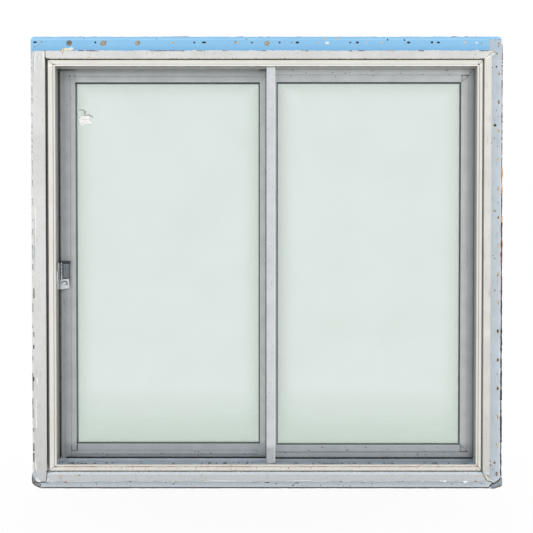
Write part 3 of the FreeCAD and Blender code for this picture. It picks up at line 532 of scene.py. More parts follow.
# Picks, in edit mode, the vertices, edges or faces of a piece whose points pass a test
def pick(piece, kind, test):
    bpy.ops.object.mode_set(mode="EDIT")
    bpy.ops.mesh.select_mode(type=kind)
    bpy.ops.mesh.select_all(action="DESELECT")
    bpy.ops.object.mode_set(mode="OBJECT")
    mesh = piece.data
    for part in {"VERT": mesh.vertices, "EDGE": mesh.edges, "FACE": mesh.polygons}[kind]:
        members = [part.index] if kind == "VERT" else part.vertices
        part.select = test([mesh.vertices[i].co for i in members])
    bpy.ops.object.mode_set(mode="EDIT")


# Starts a piece as a flat plate facing the front, from its corners
def start_plate(name, corners, thickness):
    bpy.ops.object.select_all(action="DESELECT")
    turned = (math.radians(90), 0, 0)
    count = len(corners)
    bpy.ops.mesh.primitive_circle_add(vertices=count, radius=1, fill_type="NGON", rotation=turned)
    piece = settle(name)
    places = [vertex.co.copy() for vertex in piece.data.vertices]
    for place, corner in zip(places, reversed(corners)):
        pick(piece, "VERT", lambda points: (points[0] - place).length < 1e-6)
        bpy.ops.transform.translate(value=Vector(corner) - place)
    bpy.ops.mesh.select_all(action="SELECT")
    move = {"value": (0, -thickness, 0)}
    bpy.ops.mesh.extrude_region_move(TRANSFORM_OT_translate=move)
    bpy.ops.mesh.select_all(action="SELECT")
    bpy.ops.mesh.normals_make_consistent(inside=False)
    bpy.ops.object.mode_set(mode="OBJECT")
    return piece


# Gives a finished piece its finish, its slot and the body that it stands on
def keep(piece, finish):
    if bpy.context.object and bpy.context.object.mode == "EDIT":
        bpy.ops.object.mode_set(mode="OBJECT")
    piece.data.materials.clear()
    piece.data.materials.append(finish)
    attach(piece, "root")
    return piece


# Cuts a piece into short lengths along one axis
def divide(piece, axis, step):
    def runs(points):
        across = points[1] - points[0]
        return abs(across[axis]) > 0.9 * across.length

    pick(piece, "EDGE", runs)
    length = max(piece.dimensions)
    bpy.ops.mesh.subdivide(number_cuts=int(length / step) - 1)
    bpy.ops.object.mode_set(mode="OBJECT")


# Tears an edge: pushes the points that pass a test to and fro along one axis by a cloud's shades
def tear(piece, test, axis, reach, grain):
    pick(piece, "VERT", test)
    bpy.ops.object.vertex_group_add()
    bpy.ops.object.vertex_group_assign()
    bpy.ops.object.mode_set(mode="OBJECT")
    cloud = bpy.data.textures.new("torn_edge", "CLOUDS")
    cloud.noise_scale = grain
    cloud.noise_depth = 3
    cloud.contrast = 2.0
    push = piece.modifiers.new("tear", "DISPLACE")
    push.texture = cloud
    push.texture_coords = "LOCAL"
    push.direction = axis
    push.strength = reach
    push.vertex_group = piece.vertex_groups[-1].name
    bpy.ops.object.modifier_apply(modifier=push.name)


# A long scrap between two corners, torn all along
def torn_strip(name, finish, low, high, axis, reach, grain):
    strip = start_block(name, low, high)
    run = 2 if axis == "X" else 0
    divide(strip, run, 3 * MM)
    tear(strip, lambda points: True, axis, reach, grain)
    return keep(strip, finish)


# Marks of one finish: a dished disc is shaped once, and each copy is stretched over its place.
# Each place is across, down, width and height in the photo's pixels.
def marks(name, finish, front, rise, places, seed=1):
    bpy.ops.object.select_all(action="DESELECT")
    turned = (math.radians(90), 0, 0)
    bpy.ops.mesh.primitive_cylinder_add(vertices=14, radius=1, depth=1, location=(0, 0.5, 0), rotation=turned)
    disc = settle(name)
    pick(disc, "FACE", lambda points: all(p.y < 0.01 for p in points))
    bpy.ops.mesh.inset(thickness=0.22)
    bpy.ops.transform.translate(value=(0, 0.35, 0))
    pick(disc, "VERT", lambda points: points[0].y < 0.01)
    bpy.ops.transform.vertex_random(offset=0.14, seed=seed)
    bpy.ops.object.mode_set(mode="OBJECT")
    draw = random.Random(seed)
    half = MM_PER_PIXEL * MM * (1 + (front - FRONT) / CAMERA_DISTANCE) / 2
    bpy.ops.object.select_all(action="DESELECT")
    for across, down, wide, high in places:
        copy = disc.copy()
        copy.data = disc.data.copy()
        size = Matrix.Diagonal((wide * half, rise, high * half, 1))
        turn = Matrix.Rotation(draw.uniform(0, math.tau), 4, "Y")
        copy.data.transform(Matrix.Translation(at(across, down, front - rise)) @ size @ turn)
        bpy.context.scene.collection.objects.link(copy)
        copy.select_set(True)
        bpy.context.view_layer.objects.active = copy
    bpy.data.objects.remove(disc)
    bpy.ops.object.join()
    piece = settle(name)
    return keep(piece, finish)


# Places for small marks strewn between two spots of the photo
def strewn(first, last, count, aside, size, seed):
    draw = random.Random(seed)
    places = []
    for _ in range(count):
        share = draw.random()
        across = first[0] + share * (last[0] - first[0]) + draw.uniform(-aside, aside)
        down = first[1] + share * (last[1] - first[1]) + draw.uniform(-aside, aside)
        wide = size * draw.uniform(0.5, 1.3)
        places.append((across, down, wide, wide * draw.uniform(0.5, 1.1)))
    return places


# A path between two spots of the photo that strays, swells and thins by chance
def ragged(first, last, step, stray, seed):
    draw = random.Random(seed)
    count = max(2, round(math.dist(first, last) / step))
    path = []
    for number in range(count + 1):
        share = number / count
        across = first[0] + share * (last[0] - first[0]) + draw.uniform(-stray, stray)
        down = first[1] + share * (last[1] - first[1]) + draw.uniform(-stray, stray)
        path.append((across, down, draw.uniform(0.5, 1.4)))
    return path


# Beads, drips, scratches or cracks of one finish, each along spots of the photo. A spot's third
# number swells the bead there.
def beads(name, finish, y, width, paths, flat=0.4):
    bpy.ops.object.select_all(action="DESELECT")
    bpy.ops.curve.primitive_nurbs_path_add()
    lines = bpy.context.object
    lines.data.splines.clear()
    for path in paths:
        track = lines.data.splines.new("NURBS")
        track.points.add(len(path) - 1)
        track.use_endpoint_u = True
        track.order_u = min(3, len(path))
        for point, place in zip(track.points, path):
            point.co = (*at(place[0], place[1], y), 1)
            point.radius = place[2] if len(place) > 2 else 1.0
    lines.data.bevel_depth = width * MM / 2
    lines.data.bevel_resolution = 1
    lines.data.use_fill_caps = True
    bpy.ops.object.convert(target="MESH")
    bpy.ops.transform.resize(value=(1, flat, 1), center_override=(0, y, 0))
    return keep(settle(name), finish)


# Crumbs, flakes or film in one colour with patches of others. Each coat is a colour, a patch size
# and where the cloud starts and ends.
def patchy(name, code, roughness, *layers):
    material, tree, shader = finish_of(name, Metallic=0.0, Roughness=roughness)
    masks = [(shade, patches(tree, size * MM, low, high)) for shade, size, low, high in layers]
    tree.links.new(coats(tree, code, masks), shader.inputs["Base Color"])
    return material


# Polyethylene film, blue and a little glossy, paler in a band near its upper edge and deeper at its foot
def blue_film():
    material, tree, shader = finish_of("blue_polyethylene_film", Metallic=0.0, Roughness=0.38)
    foot = along(tree, "Z", FIN_EDGE - 22 * MM, FIN_EDGE - 42 * MM, 0.9)
    pale = both(
        tree,
        along(tree, "Z", FIN_EDGE - 9.5 * MM, FIN_EDGE - 7 * MM),
        along(tree, "Z", FIN_EDGE - 3.5 * MM, FIN_EDGE - 6 * MM),
    )
    wrinkles = patches(tree, 14 * MM, 0.5, 0.72, 0.5, (6, 1, 1))
    worn = patches(tree, 5 * MM, 0.66, 0.74, 0.5, (2, 1, 1))
    colour = coats(
        tree,
        "#8CC6EE",
        [("#7AB9E8", foot), ("#A0D5F6", pale), ("#82BFE9", wrinkles), ("#B5D9EE", worn)],
    )
    tree.links.new(colour, shader.inputs["Base Color"])
    relief(tree, shader, wrinkles, 0.3 * MM)
    return material


FILM = blue_film()
SHEATHING = patchy(
    "torn_sheathing",
    "#9A9086",
    0.85,
    ("#5A4C42", 7, 0.48, 0.58),
    ("#B9AE9F", 11, 0.52, 0.6),
    ("#2E2724", 4, 0.6, 0.66),
    ("#A56B42", 9, 0.62, 0.68),
)
FLAKES_AND_HIGHLIGHT = patchy(
    "flaked_sealant_and_highlight",
    "#EDEBE6",
    0.7,
    ("#FBFBFA", 9, 0.45, 0.56),
    ("#C9BFAE", 7, 0.56, 0.62),
    ("#6E5A4A", 5, 0.65, 0.70),
)
DARK_SHEATHING = patchy("dark_sheathing", "#4A4743", 0.85, ("#6F675F", 8, 0.52, 0.62), ("#7A3F2C", 6, 0.6, 0.66))
OLD_WOOD = patchy("sheathing_in_a_hole", "#B5A994", 0.85, ("#857A66", 4, 0.45, 0.6), ("#D9CFBD", 3, 0.55, 0.65))
OLIVE = patchy("rusted_washer", "#86816F", 0.7, ("#6C6754", 4, 0.45, 0.6), ("#A59D88", 3, 0.6, 0.68))
DARK = patchy("open_hole", "#2B2725", 0.8, ("#4A3C33", 3, 0.55, 0.65))
RUST = patchy("rusted_nail", "#6E4630", 0.8, ("#3A2821", 2, 0.5, 0.6))
WHITE = patchy("white_sealant", "#EFEEEA", 0.5, ("#D6D2C8", 6, 0.55, 0.7))
CREAM = patchy("old_putty", "#E3D2B4", 0.75, ("#C49A66", 3, 0.52, 0.62))
GLOSSY = patchy("glossy_sealant", "#FFFFFF", 0.25, ("#E9EAEA", 5, 0.6, 0.7))
PALE_SEALANT = patchy("pale_sealant", "#D3D8DC", 0.7, ("#A9ACAE", 5, 0.52, 0.62), ("#EEF0F0", 7, 0.5, 0.6))
PAPER = patchy("torn_paper", "#FFFFFD", 0.85, ("#EFEFEA", 7, 0.5, 0.68))
CREAM_ENAMEL = patchy("creamy_tape", "#DBD9D3", 0.6, ("#C9C1B4", 6, 0.52, 0.66))
GUSSET = patchy("grey_gusset", "#98A2AA", 0.6, ("#737B82", 6, 0.48, 0.64))
LABEL = patchy("label_paper", "#EDE6C6", 0.85, ("#F3EFDD", 6, 0.45, 0.6), ("#8DB3B0", 4, 0.66, 0.7))
PRIMER = patchy("pink_primer", "#CFA9A2", 0.7, ("#D9C7C2", 3, 0.45, 0.6))
SLATE = patchy("slate_scraps_and_painted_shade", "#AEB9C2", 0.8, ("#8D979E", 4, 0.5, 0.6))
RESIDUE = patchy("glue_residue", "#E3EAEA", 0.6, ("#D9E2E0", 6, 0.5, 0.6))
ROLLED = patchy("rolled_paper", "#9FA69D", 0.85, ("#7E8A86", 4, 0.5, 0.6))
BEIGE = patchy("beige_tear", "#D9C8AE", 0.85, ("#C4AE8C", 4, 0.5, 0.6))
GROOVE_DIRT = patchy("groove_dirt", "#CFC8BB", 0.8, ("#8B7255", 6, 0.55, 0.66), ("#DAD6CE", 9, 0.5, 0.6))
WET_SLATE = patchy("damp_dirt", "#5F6A74", 0.7, ("#3B4148", 4, 0.5, 0.6))
CAP_AND_SHADOW = patchy("dark_latch_cap_and_painted_shadow", "#3B434B", 0.5, ("#262B31", 4, 0.5, 0.6))
PALE_HIGHLIGHT = patchy("painted_highlight_lacquer", "#FFFFFF", 0.35, ("#D2D8DC", 2, 0.55, 0.65))
GREY = patchy("grey_grime_and_painted_shade", "#8D8F8E", 0.8, ("#6C6C6A", 4, 0.5, 0.62))
RUSTY_WOOD = patchy("rusty_wood", "#A07A6B", 0.85, ("#5E3B30", 3, 0.5, 0.6), ("#C9B7AC", 4, 0.6, 0.68))
TAN_WOOD = patchy("tan_wood", "#C39670", 0.85, ("#DAB797", 6, 0.5, 0.6), ("#8F6A52", 5, 0.6, 0.66))
RED_BROWN_WOOD = patchy("red_brown_wood", "#7A4E3C", 0.85, ("#3F2A23", 12, 0.5, 0.58), ("#9A6A50", 5, 0.6, 0.66))
TARRY_WOOD = patchy("tarry_wood", "#3E342B", 0.85, ("#241F1C", 14, 0.5, 0.58), ("#6A4F2C", 9, 0.58, 0.64))
FRINGE = patchy("beige_fringe", "#E6D2BC", 0.85, ("#D8B899", 5, 0.5, 0.6))
BROWNISH = patchy("dirt_specks", "#978673", 0.8, ("#6B5A4A", 5, 0.5, 0.62))
BROWN = patchy("rust_stain", "#9A7654", 0.8, ("#6B4A34", 5, 0.5, 0.62))

# The film on the head's fin: rounded at the left, with a narrow strip over the right corner plate,
# its upper edge frayed
film_left = at(31.3, 44, FILM_FRONT).x
film_right = at(489.3, 45, FILM_FRONT).x
strip_foot = at(489, 39.4, FILM_FRONT).z
film = start_block(
    "protective_film",
    (film_left, FILM_FRONT, at(31, 50.7, FILM_FRONT).z),
    (film_right, FIN_FRONT - 0.08 * MM, FIN_EDGE - 0.1 * MM),
)
bpy.ops.object.mode_set(mode="EDIT")
bpy.ops.mesh.select_all(action="SELECT")
bpy.ops.mesh.bisect(plane_co=(0, 0, strip_foot), plane_no=(0, 0, 1))
pick(film, "FACE", lambda points: all(p.x > film_right - 1e-5 and p.z > strip_foot - 1e-5 for p in points))
bpy.ops.mesh.extrude_region_move(TRANSFORM_OT_translate={"value": (24 * MM, 0, 0)})
divide(film, 0, 4 * MM)
tear(film, lambda points: points[0].z > FIN_EDGE - 0.5 * MM, "Z", 1.6 * MM, 7 * MM)
pick(
    film,
    "EDGE",
    lambda points: all(p.x < film_left + 1e-4 and p.z > FIN_EDGE - 3 * MM for p in points)
    and abs(points[0].y - points[1].y) > 1e-5,
)
bpy.ops.mesh.bevel(offset=10 * MM, segments=6, affect="EDGES")
keep(film, FILM)

# Holes, nails and scars that show in the film
film_marks = (
    ("washers_in_film", OLIVE, 0.8, [(69.1, 42.9, 5.6, 5.2)]),
    (
        "wood_in_film",
        OLD_WOOD,
        0.7,
        [
            (103.0, 43.2, 5.6, 5.2),
            (105.8, 41.6, 2.2, 1.6),
            (137.6, 42.9, 5.2, 4.6),
            (267.0, 43.2, 5.2, 4.8),
            (235.9, 42.2, 3.2, 2.6),
            (292.0, 42.4, 1.8, 1.6),
            (481.6, 43.2, 1.6, 1.6),
            (38.8, 44.6, 2.2, 1.4),
            (41.6, 42.0, 2.0, 1.3),
            (34.6, 46.6, 2.2, 1.4),
            (246.4, 39.4, 1.8, 1.2),
        ],
    ),
    (
        "putty_in_film",
        CREAM,
        0.7,
        [
            (172.1, 42.6, 3.0, 2.4),
            (323.7, 38.8, 2.2, 2.4),
            (319.0, 42.6, 2.6, 1.2),
            (381.6, 42.4, 2.4, 2.0),
            (337.0, 38.5, 1.8, 1.8),
            (464.7, 42.5, 3.0, 2.2),
            (420.4, 40.2, 1.2, 1.0),
            (367.5, 43.6, 0.8, 3.0),
            (366.3, 40.0, 1.0, 1.6),
            (237.4, 43.2, 1.6, 1.6),
        ],
    ),
    ("sealant_in_film", WHITE, 0.7, [(327.2, 42.8, 4.0, 2.8), (476.6, 42.7, 2.2, 2.0), (172.8, 42.9, 1.3, 1.6)]),
    (
        "slots_in_film",
        DARK,
        0.3,
        [
            (35.0, 42.2, 4.0, 1.9),
            (95.3, 42.4, 2.0, 2.0),
            (204.0, 42.4, 4.2, 2.0),
            (194.3, 42.5, 1.9, 2.0),
            (297.4, 42.5, 3.8, 2.0),
            (357.4, 42.5, 2.8, 2.4),
            (387.5, 39.8, 1.6, 1.7),
            (404.4, 40.0, 1.6, 1.7),
            (408.6, 42.5, 3.6, 2.0),
            (432.0, 42.3, 2.4, 2.4),
            (438.4, 42.5, 3.2, 1.9),
            (83.6, 38.6, 0.8, 0.8),
            (156.5, 39.0, 0.8, 0.8),
        ],
    ),
    ("nails_in_film", RUST, 0.6, [(251.9, 42.5, 2.0, 1.6), (279.6, 42.5, 2.0, 2.0), (350.2, 42.5, 1.8, 1.6)]),
)
for name, finish, rise, places in film_marks:
    marks(name, finish, FILM_FRONT + 0.1 * MM, rise * MM, places)

# Torn sheathing round the fins' outer edges, and flaked sealant along the casing's, pale enough at
# the casing's top and foot to paint the bright line of their edges' highlight
fin_left_edge = lowest("fin_left").x
fin_right_edge = highest("fin_right").x
fin_foot = lowest("fin_sill").z
behind = FIN_FRONT + 0.4 * MM
torn_strip(
    "sheathing_along_head",
    SHEATHING,
    (film_left + 9 * MM, behind, FIN_EDGE - 1.6 * MM),
    (0.617, -0.1 * MM, FIN_EDGE - 0.2 * MM),
    "Z",
    3.4 * MM,
    15 * MM,
)
torn_strip(
    "sealant_on_right_fin",
    PALE_SEALANT,
    (fin_right_edge - 0.3 * MM, behind - 0.6 * MM, fin_foot + 16 * MM),
    (fin_right_edge + 1.1 * MM, -0.3 * MM, FIN_EDGE - 14 * MM),
    "X",
    1.4 * MM,
    5 * MM,
)
torn_strip(
    "sealant_on_left_fin",
    WHITE,
    (fin_left_edge + 1.2 * MM, behind - 0.8 * MM, 0.03),
    (lowest("casing_left").x + 1 * MM, -0.5 * MM, FIN_EDGE - 60 * MM),
    "X",
    3 * MM,
    12 * MM,
)
torn_strip(
    "sheathing_along_sill",
    DARK_SHEATHING,
    (-0.6025, behind - 0.9 * MM, fin_foot - 2.3 * MM),
    (at(489.4, 487, FIN_FRONT).x, -0.1 * MM, fin_foot + 0.5 * MM),
    "Z",
    1.0 * MM,
    14 * MM,
)
# Flaked sealant along the casing's top and foot, which also paints their edges' highlight
torn_strip(
    "sealant_and_highlight_on_head",
    FLAKES_AND_HIGHLIGHT,
    (lowest("casing_head").x, FRONT + 0.6 * MM, CASING_TOP - 1.0 * MM),
    (highest("casing_head").x - 12 * MM, FRONT + 9 * MM, CASING_TOP + 0.5 * MM),
    "Z",
    2.6 * MM,
    5 * MM,
)
torn_strip(
    "sealant_and_highlight_on_sill",
    FLAKES_AND_HIGHLIGHT,
    (lowest("casing_sill").x, FRONT + 0.6 * MM, CASING_FOOT - 0.6 * MM),
    (highest("casing_sill").x - 20 * MM, FRONT + 9 * MM, CASING_FOOT + 1.0 * MM),
    "Z",
    2.4 * MM,
    6 * MM,
)

torn_strip(
    "sealant_in_head_groove",
    GROOVE_DIRT,
    (-0.566, FRONT + 0.4 * MM, 1.1241),
    (0.561, FRONT + 6 * MM, 1.1256),
    "Z",
    0.9 * MM,
    9 * MM,
)

torn_strip(
    "sealant_in_sill_groove",
    PALE_SEALANT,
    (-0.566, FRONT + 0.8 * MM, highest("casing_sill").z - 0.3 * MM),
    (0.561, FRONT + 6 * MM, highest("casing_sill").z + 1.4 * MM),
    "Z",
    0.9 * MM,
    9 * MM,
)

# Dirt packed in the right fin's slots, one plug in each, and building paper left behind the fin
torn_strip(
    "paper_behind_fin",
    SHEATHING,
    (0.600, 0.05 * MM, 0.0),
    (0.6185, 0.5 * MM, 1.13),
    "X",
    3 * MM,
    12 * MM,
)
slot_x = highest("fin_right").x - 9 * MM
slot_levels = [FIN_EDGE - 0.0204 - number * 0.0762 for number in range(16)]
bpy.ops.object.select_all(action="DESELECT")
bpy.ops.mesh.primitive_cylinder_add(
    vertices=24, radius=2.5 * MM, depth=1.2 * MM, location=(slot_x, -1.0 * MM, 0), rotation=(math.radians(90), 0, 0)
)
plug = settle("packed_dirt")
pick(plug, "VERT", lambda points: points[0].z > 1e-5)
bpy.ops.transform.translate(value=(0, 0, 2.9 * MM))
pick(plug, "VERT", lambda points: points[0].z < -1e-5)
bpy.ops.transform.translate(value=(0, 0, -2.9 * MM))
pick(plug, "FACE", lambda points: all(p.y < -1.3 * MM for p in points))
bpy.ops.mesh.inset(thickness=0.9 * MM)
bpy.ops.transform.translate(value=(0, 0.4 * MM, 0))
bpy.ops.object.mode_set(mode="OBJECT")
bpy.ops.object.select_all(action="DESELECT")
for number, level in enumerate(slot_levels):
    copy = plug.copy()
    copy.data = plug.data.copy()
    copy.data.transform(Matrix.Translation((0, 0, level)))
    bpy.context.scene.collection.objects.link(copy)
    copy.select_set(True)
    bpy.context.view_layer.objects.active = copy
bpy.data.objects.remove(plug)
bpy.ops.object.join()
PACKED = patchy("packed_dirt", "#D3C6AD", 0.85, ("#7D6A54", 5, 0.52, 0.62), ("#EBE3D3", 4, 0.58, 0.66))
keep(settle("packed_dirt"), PACKED)

# What clings to the right fin's edge, stretch by stretch down the photo: where each starts and ends
IN_FRONT_OF_FIN = FIN_FRONT - 0.3 * MM
right_edge = (
    ("splinters_right", RUSTY_WOOD, 1.9, ((44.5, 64), (66, 79), (82, 113), (117, 150))),
    ("dark_scraps_right", DARK_SHEATHING, 2.8, ((45, 50.5), (58.5, 60), (62, 63.6), (65, 66.6), (80, 86.5))),
    ("rusty_scraps_right", RUSTY_WOOD, 2.8, ((51, 58.5), (70, 75), (87, 97), (105, 107), (112, 126), (143, 155))),
    ("dark_grime_right", DARK_SHEATHING, 2.3, ((129, 133), (137, 140), (157, 166.5), (207, 216))),
    ("tan_scraps_right", TAN_WOOD, 4.2, ((167, 195), (216, 222))),
    ("brown_scraps_right", RED_BROWN_WOOD, 4.4, ((221, 262), (261, 300))),
    ("tarry_edge_right", TARRY_WOOD, 4.6, ((298, 350), (349, 400), (399, 442))),
    ("black_edge_right", DARK, 3.4, ((116, 118), (121, 122.5), (195, 206.5), (229, 237), (440, 476.5))),
)


# Where the right fin's edge shows at a height in the photo
def right_edge_at(down):
    return 502.25 - (down - 45) * 0.0035


for name, finish, width, runs in right_edge:
    paths = [
        ragged((right_edge_at(first), first), (right_edge_at(last), last), 3, 0.18, int(first))
        for first, last in runs
    ]
    beads(name, finish, IN_FRONT_OF_FIN, width, paths, 0.5)

# A beige fringe of wood fibres where the fin comes out from behind the right casing
fringe_runs = ((152, 156), (162, 166), (172, 176), (181, 184), (190, 194), (200, 206), (212, 215), (226, 229))
fringe_runs += ((232, 235), (283, 287), (292, 295), (317, 320), (325, 328), (337, 340), (386, 389))
dashes = [ragged((491.0, first), (490.8, last), 1.5, 0.15, int(first)) for first, last in fringe_runs]
beads("fringe_by_right_casing", FRINGE, FIN_FRONT, 1.7, dashes, 0.4)

# Scraps of dark sheathing along the left fin, and the pale blue-grey ones above them
left_runs = ((160, 175), (180, 186), (198, 206), (219, 221.5), (229, 235), (245, 260), (264, 270))
left_runs += ((303, 312), (326, 328), (356, 360), (373, 391), (398, 418))
dashes = [ragged((32.7, first), (32.9, last), 2.5, 0.2, int(first)) for first, last in left_runs]
beads("dark_scraps_left", GREY, IN_FRONT_OF_FIN - 1.4 * MM, 1.8, dashes, 0.5)
black_runs = ((288.5, 298), (332, 337), (345, 349), (377, 381), (428, 432), (443.5, 451), (453, 462))
dashes = [ragged((33.7, first), (33.9, last), 2.5, 0.1, int(first)) for first, last in black_runs]
beads("black_scraps_left", DARK, FRONT - 0.2 * MM, 2.6, dashes, 0.3)
pale_runs = ((61, 64), (67, 74), (79, 81), (86, 95), (98, 104), (113, 116), (125, 128), (131, 134))
pale_runs += ((139, 142), (145, 148), (151, 153))
dashes = [ragged((31.9, first), (32.1, last), 2.0, 0.2, int(first)) for first, last in pale_runs]
beads("pale_scraps_left", SLATE, IN_FRONT_OF_FIN - 1.4 * MM, 1.6, dashes, 0.5)

# White sealant smeared down the wide casing, and at the sill's joint
smears = [
    [(36.6, 51.6, 0.7), (35.6, 53.4), (34.9, 56.5), (34.8, 60.5), (34.7, 68, 0.6), (34.6, 76, 0.3)],
    [(38.2, 59.4, 0.5), (38.9, 57.6, 1.3), (39.9, 55.6, 0.5)],
    [(43.7, 51.6, 1.2), (43.6, 54), (43.5, 60, 0.7), (43.4, 68, 0.4)],
    [(35.3, 206, 0.5), (35.4, 214), (35.5, 226), (35.4, 236, 0.8), (35.3, 246, 0.4)],
    [(37.0, 377, 0.7), (37.4, 380, 1.5), (37.1, 384.5, 0.6)],
    [(36.2, 399, 0.4), (36.3, 410), (36.3, 420), (36.7, 426, 1.5), (36.9, 428, 0.6)],
    [(35.2, 458, 0.5), (35.5, 464), (36.2, 468.3, 1.3), (36.5, 471, 0.5)],
    [(36.4, 476.5, 0.5), (37.4, 479.4, 0.9), (40.4, 481.6, 1.2)],
    [(47.6, 478.8, 1.2), (48.3, 481.2, 1.4)],
    [(36.0, 479.5, 1.0), (37.6, 481.4, 1.4), (40.5, 481.9, 0.8)],
]
beads("sealant_smears", GLOSSY, FRONT, 2.8, smears, 0.35)
# Grey lines beside the smears paint their shadow
smear_shadows = [
    [(34.4, 52.6, 0.6), (33.8, 56), (33.6, 64), (33.5, 76, 0.5)],
    [(37.2, 60.4, 0.5), (37.7, 57.4, 0.9), (38.6, 55.2, 0.5)],
    [(34.4, 218, 0.5), (34.4, 240), (34.4, 258), (34.6, 272, 0.5)],
    [(34.6, 463, 0.5), (35.0, 470), (36.4, 476.5), (38.6, 480.6, 0.6)],
]
beads("smear_shadows", SLATE, FRONT, 1.6, smear_shadows, 0.3)

# Grime in the joints between the casing's pieces, and the hairline mitres of the ridge
hairlines = [
    [(45.25, 51.5, 0.7), (45.2, 55), (45.2, 58.6, 1.3)],
    [(46.6, 472.8, 0.6), (46.5, 476.0, 0.9), (46.6, 478.4, 1.3), (46.3, 481.2, 0.7)],
    [(48.1, 60.1, 0.7), (50.6, 62.2, 0.4), (53.0, 64.4, 0.9)],
    [(49.4, 471.2, 0.7), (51.8, 468.8, 0.4), (54.0, 466.6, 0.8)],
    [(54.2, 466.4, 0.9), (57.2, 466.5, 1.1)],
    [(483.4, 59.8, 0.9), (481.2, 62.0, 0.4), (478.8, 64.4, 0.9)],
    [(481.6, 471.2, 0.8), (479.8, 469.2, 0.5), (477.9, 467.3, 0.8)],
    [(477.5, 466.5, 1.2), (476.6, 466.3), (475.4, 465.7, 0.8)],
    [(478.5, 61.0, 0.4), (478.6, 66.0, 0.8)],
]
beads("joint_grime", DARK_SHEATHING, FRONT, 1.4, hairlines, 0.3)
corner_dots = [
    (52.9, 64.4, 1.2, 1.1),
    (54.7, 64.5, 0.9, 0.8),
    (478.9, 64.3, 1.3, 1.1),
    (483.6, 59.6, 1.6, 1.2),
    (481.5, 471.2, 1.5, 1.1),
    (46.5, 60.2, 1.2, 2.4),
    (46.9, 471.6, 1.6, 1.2),
]
marks("corner_dots", DARK, FRONT - 0.1 * MM, 0.25 * MM, corner_dots, 4)

# Sealing tape folded over the mitres at the right, with the folds' grey lines and a crack
TAPE_BACK = FRONT - 0.1 * MM
tape = [(485.4, 57.3), (489.8, 50.9), (492.1, 50.4), (494.9, 53.7), (487.0, 59.6), (485.2, 58.2)]
top_tape = start_plate("tape_over_top_mitre", [at(*spot_of, TAPE_BACK) for spot_of in tape], 0.5 * MM)
keep(top_tape, WHITE)
tape = [(482.4, 472.0), (485.2, 473.6), (489.2, 476.9), (493.0, 480.4), (491.5, 481.2), (487.0, 480.9), (484.6, 477.0)]
low_tape = start_plate("tape_over_low_mitre", [at(*spot_of, TAPE_BACK) for spot_of in tape], 0.5 * MM)
keep(low_tape, CREAM_ENAMEL)
folds = [
    [(486.8, 57.1, 0.7), (489.2, 54.3), (491.8, 51.3, 0.8)],
    [(489.8, 55.4, 0.7), (491.8, 53.4), (493.8, 51.7, 0.8)],
    [(481.9, 471.7, 0.6), (486.0, 474.6, 0.8), (489.8, 477.4), (492.6, 480.1, 0.7)],
]
beads("tape_folds", GREY, TAPE_BACK - 0.5 * MM, 1.9, folds, 0.3)
cracks = [
    [(482.0, 471.8, 0.6), (484.0, 475.6, 0.7), (485.6, 478.7), (486.8, 480.4, 1.3)],
    [(487.0, 481.0, 1.2), (489.0, 481.3, 0.8), (491.4, 481.7, 1.3)],
]
beads("tape_crack", DARK, TAPE_BACK - 0.5 * MM, 1.8, cracks, 0.3)

# The bottom right corner's plate, broken off along a dark crack and pushed down a little
PLATE_BACK = FIN_FRONT - 0.2 * MM
corner = [(490.4, 488.0), (495.0, 488.3), (497.0, 486.9), (500.6, 486.5), (502.0, 484.6), (502.1, 477.6)]
corner += [(500.9, 477.6), (498.4, 480.8), (493.6, 483.8), (491.4, 484.0)]
plate = start_plate("broken_corner_plate", [at(*spot_of, PLATE_BACK) for spot_of in corner], 0.6 * MM)
keep(plate, GUSSET)
crack = [
    [(501.2, 476.8, 0.7), (500.4, 478.6), (498.3, 480.9), (495.4, 482.8), (493.2, 483.6, 1.4), (491.6, 482.6, 0.9)],
    [(493.2, 483.6, 1.2), (491.6, 484.1, 1.3), (490.6, 485.4), (489.2, 487.0, 1.2)],
    [(490.2, 488.2, 0.6), (494.6, 488.5, 0.8), (496.9, 487.0), (500.6, 486.7, 0.7), (502.1, 484.6, 0.6)],
]
beads("corner_crack", DARK, PLATE_BACK - 0.7 * MM, 2.6, crack, 0.4)

# The grey gusset at the bottom left corner with its dark underside
gusset = [(32.2, 476.0), (35.2, 476.0), (36.4, 481.8), (40.6, 483.2), (40.8, 487.6), (38.6, 486.2), (34.4, 484.8)]
gusset += [(32.3, 482.4)]
plate = start_plate("grey_gusset", [at(*spot_of, PLATE_BACK) for spot_of in gusset], 0.6 * MM)
keep(plate, GUSSET)
rims = [
    [(32.5, 473.5, 0.5), (32.2, 477.0, 0.8), (32.3, 482.2), (34.4, 485.0), (38.6, 486.5, 1.2), (40.6, 488.0)],
    [(34.0, 481.9, 0.8), (38.4, 482.6), (42.0, 482.3), (46.0, 482.2, 0.8)],
]
beads("gusset_underside", DARK_SHEATHING, PLATE_BACK - 0.7 * MM, 2.6, rims, 0.4)

# The torn scrap of a blank paper label on the film's lower edge, with drips of primer below it
scrap = [(58.9, 50.2), (61.6, 49.4), (64.8, 48.1), (68.6, 48.2), (71.7, 47.0), (73.9, 48.6), (71.0, 50.5)]
scrap += [(67.6, 50.2), (64.4, 50.9), (60.4, 51.2)]
label = start_plate("label_scrap", [at(*spot_of, TAPE_BACK) for spot_of in scrap], 0.3 * MM)
keep(label, LABEL)
beads("label_stains", RUST, TAPE_BACK - 0.3 * MM, 2.6, [[(59.6, 50.6, 0.8), (61.2, 50.2), (62.2, 49.9, 0.5)], [(63.3, 49.8), (64.2, 49.6, 1.3)]])
drips = [[(61.0, 51.6, 0.7), (62.6, 51.4), (64.2, 51.6, 0.8)], [(62.6, 51.6), (62.3, 53.4), (62.9, 55.4, 0.5)]]
beads("primer_drips", PRIMER, TAPE_BACK, 2.4, drips, 0.3)

